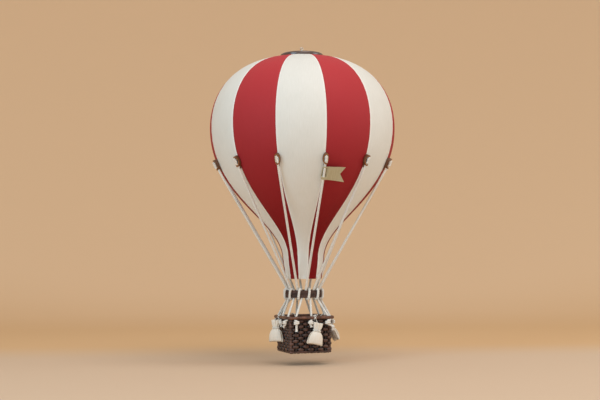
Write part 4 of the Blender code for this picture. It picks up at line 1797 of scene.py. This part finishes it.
@dataclass
class WickerBasket:
    """The square basket: upright stakes, eleven rows of weavers, corner posts, border and floor."""

    middle: float = WALL_MIDDLE
    corner: float = 0.0030
    bottom_z: float = -0.3296
    top_z: float = -0.2941
    step: float = 0.00065
    rows: int = 11
    stakes: int = 32
    stake_radius: float = 0.00085
    stake_flat: float = 0.55
    stake_foot: float = 0.0006
    stake_bend: float = 0.0001
    weaver_half: float = 0.00157
    weaver_flat: float = 0.44
    swing: float = 0.00125
    wave_power: float = 0.5
    weaver_stray: Span = (0.00012, 0.00022)
    weaver_size: Span = (0.97, 0.10)
    border_radius: float = 0.00115
    border_out: float = 0.0003
    border_stray: float = 0.00012
    border_pitch: float = 0.0129
    border_step: float = 0.0009
    top_border_drop: float = 0.0007
    top_border_radius: float = 0.0009
    post_radius: float = 0.00150
    post_flat: float = 0.8
    floor_rods: int = 12
    floor_inset: float = 0.0004
    floor_lift: float = 0.0014
    floor_wave: float = 0.00040
    floor_rod: Span = (0.44, 0.30)
    willow: StainedRod = StainedRod(
        "stained_willow", "#38261F", "#6C4A3E", roughness=0.42, wall_at=WALL_MIDDLE
    )

    def build(self) -> None:
        """Weave the basket and join it into one piece."""
        parts = self.weavers() + self.uprights() + self.borders() + self.floor()
        basket = join("woven_basket", parts)
        dress(basket, self.willow.build())
        hand_over(basket, "basket_body")

    def path(self, height: float) -> list[Vector]:
        """Run round the middle of the walls at a height."""
        return rounded_square(self.middle, self.corner, height, self.step)

    def weavers(self) -> list[bpy.types.Object]:
        """Weave the rows, each in front of every other stake.

        Returns:
            The weavers.
        """
        low = self.bottom_z + 2 * self.border_radius
        pitch = (self.top_z - low) / self.rows
        parts = []
        for row in range(self.rows):
            height = low + (row + 0.5) * pitch
            path = self.path(height)
            run = []
            for k, spot in enumerate(path):
                phase = self.stakes * math.pi * (k / len(path)) + row * math.pi
                wave = math.cos(phase)
                wave = math.copysign(abs(wave) ** self.wave_power, wave)
                seed = Vector((spot.x * 160, spot.y * 160, row * 5.0))
                out = wave * self.swing + self.weaver_stray[0] * noise.noise(seed)
                lift = self.weaver_stray[1] * noise.noise(seed * 1.7)
                size = self.weaver_size[0] + self.weaver_size[1] * noise.noise(seed * 0.8)
                place = spot + out_of_run(path, k) * out + Vector((0, 0, lift))
                run.append(sized(place, size))
            section = [(y, x) for x, y in round_section(self.weaver_half, 12, self.weaver_flat)]
            parts.append(sweep(f"weaver_{row}", run, section, closed=True, upright=True))
        return parts

    def uprights(self) -> list[bpy.types.Object]:
        """Stand the stakes, and thicker posts at the corners.

        Returns:
            The stakes and posts.
        """
        path = self.path(0.0)
        parts = []
        for i in range(self.stakes):
            k = round(i * len(path) / self.stakes)
            at_corner = i % 8 == 4
            radius = self.post_radius if at_corner else self.stake_radius
            flat = self.post_flat if at_corner else self.stake_flat
            out = out_of_run(path, k)
            run = []
            for step, share in enumerate(shares(8)):
                tall = self.top_z - self.bottom_z - self.stake_foot
                height = self.bottom_z + self.stake_foot + share * tall
                bend = self.stake_bend * noise.noise(Vector((i * 3.1, step * 0.9, 0)))
                run.append(path[k] + out * bend + Vector((0, 0, height)))
            stake = sweep(f"stake_{i}", run, round_section(radius, 12, flat))
            self.face_outwards(stake, path[k], math.atan2(out.y, out.x))
            parts.append(stake)
        return parts

    def face_outwards(self, stake: bpy.types.Object, foot: Vector, turn: float) -> None:
        """Turn a flattened stake so that its flat side faces out of the wall.

        Args:
            stake: The stake, whose wide side lies along X or Y.
            foot: Where it stands.
            turn: The direction out of the wall.
        """
        spans = [max(abs((v.co - foot)[axis]) for v in stake.data.vertices) for axis in (0, 1)]
        wide_turn = 0.0 if spans[0] >= spans[1] else math.pi / 2
        around_foot = Matrix.Translation((foot.x, foot.y, 0))
        turned = Matrix.Rotation(turn + math.pi / 2 - wide_turn, 4, "Z")
        stake.data.transform(around_foot @ turned @ around_foot.inverted())

    def borders(self) -> list[bpy.types.Object]:
        """Lay the border rods round the foot and just under the rim.

        Returns:
            The border rods.
        """
        parts = []
        rows = (
            (self.bottom_z + self.border_radius, self.border_out, self.border_radius),
            (self.top_z - self.top_border_drop, 0.0, self.top_border_radius),
        )
        for number, (height, out, radius) in enumerate(rows):
            run = []
            for spot in rounded_square(self.middle + out, self.corner, height, self.border_step):
                seed = Vector((spot.x * 120, spot.y * 120, number * 9.0))
                lift = Vector((0, 0, self.border_stray * noise.noise(seed)))
                run.append(sized(spot + lift, 1.0))
            section = laid_section(radius, 2, 7)
            parts.append(
                sweep(f"border_{number}", run, section, closed=True, pitch=self.border_pitch)
            )
        return parts

    def floor(self) -> list[bpy.types.Object]:
        """Weave the floor from rods across it, over and under the rods that cross them.

        Returns:
            The floor's rods.
        """
        reach = self.middle - self.floor_inset
        height = self.bottom_z + self.floor_lift
        parts = []
        pitch = 2 * reach / self.floor_rods
        for i in range(self.floor_rods):
            across = -reach + (i + 0.5) * pitch
            for turned in (False, True):
                run = []
                for k in range(49):
                    along = -reach + 2 * reach * k / 48
                    wave = math.cos(math.pi * (along + reach) / pitch - math.pi / 2 + i * math.pi)
                    lift = (self.floor_wave if turned else -self.floor_wave) * wave
                    spot = (across, along) if turned else (along, across)
                    run.append(Vector((*spot, height + lift)))
                share, flat = self.floor_rod
                section = [(y, x) for x, y in round_section(pitch * share, 10, flat)]
                parts.append(sweep(f"floor_{i}_{turned}", run, section, upright=True))
        return parts


@dataclass
class BasketRim:
    """Two stout rods round the basket's top, which squeeze the cords between them."""

    place: RimPlace = RimPlace()
    outer_radius: float = 0.00170
    inner_radius: float = 0.00145
    outer_shift: float = 0.00175
    inner_shift: float = -0.00145
    bulge: float = 0.00025
    bulge_reach: float = 0.0020
    stray: Span = (0.00015, 0.00010)
    step: float = 0.0007
    thinning: float = 0.05
    willow: StainedRod = StainedRod("stained_rim_willow", "#4E3228", "#7E533F", roughness=0.38)

    def build(self) -> None:
        """Bend the two rods round the rim."""
        parts = []
        rods = ((self.outer_shift, self.outer_radius, 1), (self.inner_shift, self.inner_radius, -1))
        for number, (shift, radius, way) in enumerate(rods):
            corner = self.place.corner + shift
            half = self.place.half + shift
            path = rounded_square(half, corner, self.place.height, self.step)
            run = []
            for k, spot in enumerate(path):
                seed = Vector((spot.x * 60, spot.y * 60, number * 4.0))
                moved = way * self.bulge * self.near_cord(spot) + self.stray[0] * noise.noise(seed)
                size = 1 + self.thinning * noise.noise(seed * 1.9)
                lift = Vector((0, 0, self.stray[1] * noise.noise(seed * 1.3)))
                run.append(sized(spot + out_of_run(path, k) * moved + lift, size))
            section = round_section(radius, 18)
            parts.append(sweep(f"rim_rod_{number}", run, section, closed=True, upright=True))
        rim = join("bent_rim_rods", parts)
        dress(rim, self.willow.build())
        hand_over(rim, "basket_rim")

    def near_cord(self, spot: Vector) -> float:
        """Tell how near a cord's crossing a place on the rim is.

        Args:
            spot: The place.

        Returns:
            From 0, far from a cord, to 1, at its middle.
        """
        near = 0.0
        for side in SIDES:
            for place in self.place.cord_places:
                cross = side.at(place, self.place.half, self.place.height)
                away = (spot.xy - cross.xy).length / self.bulge_reach
                near = max(near, math.exp(-away ** 2))
        return near


@dataclass
class SandBags:
    """Four filled canvas bags with tied necks and gathered tops, and the strings they hang by."""

    rim: RimPlace = RimPlace()
    scale: float = 20.0
    voxel: float = 0.005
    pressure: float = 4.0
    frames: int = 20
    most_move: float = 0.030
    held_depth: float = 0.035
    neck_height: float = 0.0155
    neck_size: Span = (0.0034, 0.0021)
    sections: tuple[tuple[float, float, float], ...] = (
        (0.0003, 0.0074, 0.0006),
        (0.0012, 0.0084, 0.0020),
        (0.0030, 0.0086, 0.0030),
        (0.0060, 0.0084, 0.0036),
        (0.0090, 0.0080, 0.0037),
        (0.0115, 0.0070, 0.0034),
        (0.0133, 0.0053, 0.0028),
        (0.0145, 0.0040, 0.0022),
        (0.0152, 0.0033, 0.0019),
    )
    frill: tuple[tuple[float, float, float, float], ...] = (
        (0.0150, 0.0029, 0.0016, 0.05),
        (0.0160, 0.0030, 0.0017, 0.08),
        (0.0172, 0.0036, 0.0020, 0.18),
        (0.0190, 0.0040, 0.0022, 0.25),
        (0.0212, 0.0042, 0.0023, 0.28),
        (0.0234, 0.0043, 0.0023, 0.30),
        (0.0241, 0.0043, 0.0022, 0.30),
    )
    corner_height: float = 0.010
    corner_out: float = 0.10
    corner_sag: float = 0.0003
    gather_from: float = 0.0105
    gather_height: float = 0.005
    gather_fold: float = 0.09
    pleats: int = 7
    pleat_start: float = 0.6
    half_pleat: Span = (0.45, 2.1)
    pleat_stray: float = 0.4
    frill_droop: float = 0.0027
    sides: int = 72
    shoulder: float = 0.0118
    canvas_thickness: float = 0.00035
    string_radius: float = 0.00048
    string_pitch: float = 0.0022
    string_step: float = 0.0005
    neck_start: float = 80.0
    neck_turned: float = 700.0
    neck_drop: float = 0.0006
    neck_span: float = 0.0016
    behind_frill: tuple[Span, ...] = ((0.0031, 0.0025), (0.0033, 0.0080))
    crossing: float = 0.0022
    round_rim: Span = (0.0039, 0.0024)
    rim_aside: float = 0.0007
    rim_start: float = -50.0
    rim_turned: float = 500.0
    loose_end: tuple[float, float, float] = (0.0034, 0.0022, 0.0030)
    canvas: PlainWeave = PlainWeave(
        "cream_canvas_weave", "#F3EDE2", "#E6DDCD", thread=0.00045, relief=0.00005, stitch_at=0.0011
    )
    twine: LaidCotton = LaidCotton("thin_cotton_twine", "#FAF7F0", "#E0D8C8", fibre=0.0002)

    def build(self) -> None:
        """Fill one bag, and hang a copy of it on each side with its string."""
        canvas = self.canvas.build()
        twine = self.twine.build()
        pattern = join("bag_pattern", [self.body(), self.make_frill()])
        self.map_canvas(pattern)
        dress(pattern, canvas)
        for side in SIDES:
            bag = copy_of(pattern, f"filled_bag_{side.name}", self.bag_frame(side))
            hand_over(bag, f"sand_bag_{side.name}", f"bag_{side.name}")
            string = self.string(side)
            dress(string, twine)
            hand_over(string, f"bag_string_{side.name}", f"bag_{side.name}")
            turns = self.rim_turns(side)
            dress(turns, twine)
            hand_over(turns)
        discard(pattern)

    def swing(self, side: Side) -> Matrix:
        """Turn a bag and its string out about the rim's middle, and to their side.

        Args:
            side: The basket's side.

        Returns:
            The turn.
        """
        middle = Matrix.Translation((0, -self.rim.half, self.rim.height))
        swung = middle @ Matrix.Rotation(math.radians(-side.bag_swing), 4, "X") @ middle.inverted()
        return Matrix.Rotation(math.radians(side.turn), 4, "Z") @ swung

    def bag_frame(self, side: Side) -> Matrix:
        """Find where a bag hangs.

        Args:
            side: The basket's side.

        Returns:
            The frame of its bottom's middle.
        """
        made = self.swing(side) @ Matrix.Translation((side.bag_place, -side.bag_depth, side.bag_bottom))
        made = made @ Matrix.Rotation(math.radians(side.bag_lean), 4, "Y")
        return made @ Matrix.Rotation(math.radians(side.bag_turn), 4, "Z")

    def body(self) -> bpy.types.Object:
        """Shape the flat pouch, sew its corners, and fill it by simulation.

        Returns:
            The filled body, at its real size.
        """
        made = new_ring("bag_body", self.sides)
        with editing(made):
            bpy.ops.mesh.select_all(action="SELECT")
            low, wide, deep = self.sections[0]
            bpy.ops.transform.resize(value=(wide, deep, 1))
            bpy.ops.transform.translate(value=(0, 0, low))
            bpy.ops.mesh.edge_face_add()
            for (h0, w0, d0), (h1, w1, d1) in zip(self.sections, self.sections[1:]):
                extrude_up(h1 - h0)
                bpy.ops.transform.resize(value=(w1 / w0, d1 / d0, 1), center_override=(0, 0, 0))
        for vert in made.data.vertices:
            self.shape_corner(vert)
        made.data.transform(Matrix.Scale(self.scale, 4))
        activate(made)
        made.data.remesh_voxel_size = self.voxel
        bpy.ops.object.voxel_remesh()
        self.fill(made)
        apply_modifier(made, "SMOOTH", factor=0.5, iterations=2)
        apply_modifier(made, "SUBSURF", levels=1, render_levels=1)
        made.data.transform(Matrix.Scale(1 / self.scale, 4))
        shade(made)
        return made

    def shape_corner(self, vert: bpy.types.MeshVertex) -> None:
        """Square a pouch's outline a little, so that its lower corners stand out.

        Args:
            vert: One vertex of the round-sided pouch.
        """
        x, y, z = vert.co
        low = max(0.0, 1 - z / self.corner_height)
        wide = next((w for h, w, _ in self.sections if h >= z - 1e-6), self.sections[-1][1])
        share = x / wide
        vert.co.x = x * (1 + self.corner_out * low * share * share)
        vert.co.z = z - self.corner_sag * low * share * share
        gather = max(0.0, (z - self.gather_from) / self.gather_height)
        turn = math.atan2(y * 2, x)
        fold = 1 + self.gather_fold * gather * math.sin(self.pleats * turn + self.pleat_start)
        vert.co.x *= fold
        vert.co.y *= fold

    def fill(self, pouch: bpy.types.Object) -> None:
        """Fill a closed pouch by cloth simulation, with its neck held.

        Args:
            pouch: The remeshed pouch, at its enlarged size.
        """
        held = pouch.vertex_groups.new(name="held")
        start = [vert.co.copy() for vert in pouch.data.vertices]
        top = self.sections[-1][0] * self.scale
        for vert in pouch.data.vertices:
            weight = min(1.0, max(0.0, 1 - (top - vert.co.z) / self.held_depth))
            if weight > 0:
                held.add([vert.index], weight, "REPLACE")
        activate(pouch)
        cloth = pouch.modifiers.new("Canvas", "CLOTH")
        settings = {
            "quality": 5, "mass": 0.3, "tension_stiffness": 25, "compression_stiffness": 10,
            "shear_stiffness": 8, "bending_stiffness": 0.6, "use_pressure": True,
            "uniform_pressure_force": self.pressure, "vertex_group_mass": "held",
        }
        for name, value in settings.items():
            setattr(cloth.settings, name, value)
        cloth.settings.effector_weights.gravity = 0
        cloth.collision_settings.use_collision = False
        scene = bpy.context.scene
        for number in range(1, self.frames + 1):
            scene.frame_set(number)
        bpy.ops.object.modifier_apply(modifier=cloth.name)
        scene.frame_set(1)
        for vert, before in zip(pouch.data.vertices, start):
            move = vert.co - before
            if move.length > self.most_move:
                vert.co = before + move * (self.most_move / move.length)

    def make_frill(self) -> bpy.types.Object:
        """Gather the canvas above the neck into pleats.

        Returns:
            The frill.
        """
        made = new_ring("bag_frill", self.pleats * 10)
        with editing(made):
            bpy.ops.mesh.select_all(action="SELECT")
            for low, high in zip(self.frill, self.frill[1:]):
                extrude_up(high[0] - low[0])
            turn_faces()
        rows = sorted({round(vert.co.z, 6) for vert in made.data.vertices})
        for vert in made.data.vertices:
            height, wide, deep, fold = self.frill[rows.index(round(vert.co.z, 6))]
            turn = math.atan2(vert.co.y, vert.co.x)
            share, start = self.half_pleat
            wave = math.sin(self.pleats * turn + self.pleat_start)
            wave += share * math.sin(2 * self.pleats * turn + start)
            uneven = 1 + self.pleat_stray * noise.noise(around(turn, 1.3, 3.0))
            reach = 1 + fold * wave * uneven
            droop = self.frill_droop * fold * noise.noise(around(turn, 2.0, 9.0))
            vert.co = (
                wide * reach * math.cos(turn), deep * reach * math.sin(turn), height + droop
            )
        apply_modifier(
            made, "SOLIDIFY", thickness=self.canvas_thickness, offset=-1.0, use_even_offset=False
        )
        apply_modifier(made, "SUBSURF", levels=1, render_levels=1)
        shade(made)
        return made

    def map_canvas(self, bag: bpy.types.Object) -> None:
        """Map a bag in metres, round it and up it, and its distance from its seams.

        Args:
            bag: The bag, upright at the origin.
        """
        while bag.data.uv_layers:
            bag.data.uv_layers.remove(bag.data.uv_layers[0])
        for name in ("UVMap", "Seam"):
            layer = bag.data.uv_layers.new(name=name)
            for loop, entry in zip(bag.data.loops, layer.data):
                spot = bag.data.vertices[loop.vertex_index].co
                edge = self.from_seam(spot) if name == "Seam" else 0.0
                entry.uv = (edge, spot.z) if name == "Seam" else (spot.x, spot.z + 0.3 * spot.y)

    def from_seam(self, spot: Vector) -> float:
        """Measure how far inside the bag's sewn outline a place on its body is.

        Args:
            spot: The place, on the upright bag.

        Returns:
            The distance, or a large one above the body's shoulders.
        """
        if spot.z > self.shoulder:
            return 1.0
        rows = list(zip(self.sections, self.sections[1:]))
        (h0, w0, _), (h1, w1, _) = next((pair for pair in rows if pair[1][0] >= spot.z), rows[-1])
        wide = w0 + (w1 - w0) * max(0.0, min(1.0, (spot.z - h0) / (h1 - h0)))
        return max(0.0, min(1.06 * wide - abs(spot.x), spot.z + 0.0002))

    def string(self, side: Side) -> bpy.types.Object:
        """Tie a bag's string: twice round its neck, then up behind its frill to the rim.

        Args:
            side: The basket's side.

        Returns:
            The string.
        """
        place = self.bag_frame(side)
        wide, deep = (size + 0.5 * GAP + self.string_radius for size in self.neck_size)
        neck = []
        for share in shares(28):
            turn = math.radians(self.neck_start) - math.radians(self.neck_turned) * share
            height = self.neck_height - self.neck_drop + self.neck_span * share
            neck.append(place @ Vector((wide * math.cos(turn), deep * math.sin(turn), height)))
        for depth, rise in self.behind_frill:
            neck.append(place @ Vector((0, depth, self.neck_height + rise)))
        neck.append(self.rim_spot(side, 0.0))
        return self.lay_twine(f"tied_string_{side.name}", neck)

    def lay_twine(self, name: str, spots: Sequence[Vector]) -> bpy.types.Object:
        """Lay the bags' twine through places.

        Args:
            name: The piece's name.
            spots: The places.

        Returns:
            The twine.
        """
        run = smooth_run([sized(spot, 1.0) for spot in spots], self.string_step)
        return sweep(name, run, laid_section(self.string_radius, 2, 5), pitch=self.string_pitch)

    def rim_middle(self, side: Side) -> float:
        """Give the place along its side where a bag's string winds round the rim."""
        return side.string_place + math.copysign(self.rim_aside, side.string_place)

    def rim_spot(self, side: Side, share: float) -> Vector:
        """Give a place on a bag's string where it winds round the rim.

        Args:
            side: The basket's side.
            share: How far along its turns the place is.

        Returns:
            The place.
        """
        turn = math.radians(self.rim_start) + math.radians(self.rim_turned) * share
        front = max(0.0, math.cos(turn)) * (-1 if share < 0.5 else 1)
        spot = Vector((
            self.rim_middle(side) + self.crossing * front * math.sin(turn),
            -self.rim.half - self.round_rim[0] * math.cos(turn),
            self.rim.height + self.round_rim[1] * math.sin(turn),
        ))
        return self.swing(side) @ spot

    def rim_turns(self, side: Side) -> bpy.types.Object:
        """Wind a bag's string round the rim, crossed on its outer side, with a loose end.

        Args:
            side: The basket's side.

        Returns:
            The turns, which stay on the rim when the bag swings.
        """
        spots = [self.rim_spot(side, share) for share in shares(36)]
        along, inwards, up = self.loose_end
        loose = Vector((
            self.rim_middle(side) + along, -self.rim.half - inwards, self.rim.height + up
        ))
        return self.lay_twine(f"rim_turns_{side.name}", [*spots, self.swing(side) @ loose])


@dataclass
class Flag:
    """The small blank swallow-tailed flag, threaded on one cord through two slits."""

    rigging: Rigging = field(default_factory=Rigging)
    cord: int = 1
    start: float = 0.0002
    outline: tuple[tuple[float, float], ...] = (
        (-0.0018, 0.0000),
        (0.0216, 0.0006),
        (0.0168, 0.0080),
        (0.0221, 0.0169),
        (-0.0028, 0.0142),
    )
    upper_slit: float = 0.09
    lower_slit: float = 0.80
    thickness: float = 0.00040
    grid: tuple[int, int] = (64, 30)
    crowding: float = 1.5
    cord_reach: float = 0.0026
    ripple: float = 0.00035
    ripple_turns: float = 260.0
    free_from: float = 0.006
    linen: PlainWeave = PlainWeave("blank_linen", "#C4B896", "#B0A37F", thread=0.0005, relief=0.00005)

    def build(self) -> None:
        """Cut the flag and thread it on its cord."""
        flag = self.cloth()
        flag.data.transform(self.hoist_frame())
        dress(flag, self.linen.build())
        hand_over(flag, "flag")

    def hoist_frame(self) -> Matrix:
        """Find the flag's place on its cord.

        Returns:
            The frame: X away from the cord, Y up along it, Z out from the envelope.
        """
        place = self.rigging.outline.on_seam(self.cord, self.rigging.loops.share)
        start = place @ Vector((0, -self.rigging.start_drop, self.rigging.loop_lift))
        up = (start - self.rigging.hitch(self.cord)[0]).normalized()
        angle = self.rigging.outline.seam_angle(self.cord)
        across = Vector((-math.sin(angle), math.cos(angle), 0))
        across = (across - across.dot(up) * up).normalized()
        return frame_at(start - up * self.start, across, up, across.cross(up))

    def cloth(self) -> bpy.types.Object:
        """Cut the flag from a grid and thread it on the cord, behind it between its two slits.

        Returns:
            The flag in the frame of its hoist.
        """
        deselect_all()
        columns, rows = self.grid
        bpy.ops.mesh.primitive_grid_add(x_subdivisions=columns, y_subdivisions=rows, size=1)
        made = bpy.context.object
        made.name = "blank_flag"
        top_left, top_tip, notch, low_tip, low_left = (Vector(p) for p in self.outline)
        reach = self.rigging.look_radius + 0.5 * GAP + self.thickness / 2
        layer = made.data.uv_layers[0]
        places = []
        for vert in made.data.vertices:
            across = (vert.co.x + 0.5) ** self.crowding
            down = 0.5 - vert.co.y
            if down < 0.5:
                fly = top_tip.lerp(notch, down * 2)
            else:
                fly = notch.lerp(low_tip, down * 2 - 1)
            x, drop = top_left.lerp(low_left, down).lerp(fly, across)
            places.append((x, -drop))
            behind = self.upper_slit < down < self.lower_slit
            at_cord = math.exp(-(x / self.cord_reach) ** 4)
            free = min(1.0, max(0.0, x) / self.free_from)
            ripple = self.ripple * math.sin(x * self.ripple_turns + down * 2.0)
            far = 0.5 * reach + ripple * free
            vert.co = (x, -drop, far + ((-reach if behind else reach) - far) * at_cord)
        for loop, entry in zip(made.data.loops, layer.data):
            entry.uv = places[loop.vertex_index]
        layer.name = "UVMap"
        with editing(made):
            turn_faces()
        apply_modifier(made, "SOLIDIFY", thickness=self.thickness, offset=0.0)
        shade(made, 50)
        return made


def main() -> None:
    """Build the studio and every piece of the balloon, in order."""
    logging.basicConfig(level=logging.INFO, format="%(message)s", stream=sys.stdout)
    for part in (
        Studio(), Envelope(), Crown(), LeatherLoops(), LoadRing(), Rigging(), WickerBasket(),
        BasketRim(), SandBags(), Flag(),
    ):
        part.build()
        log.info("%s is done", type(part).__name__)


if __name__ == "__main__":
    main()
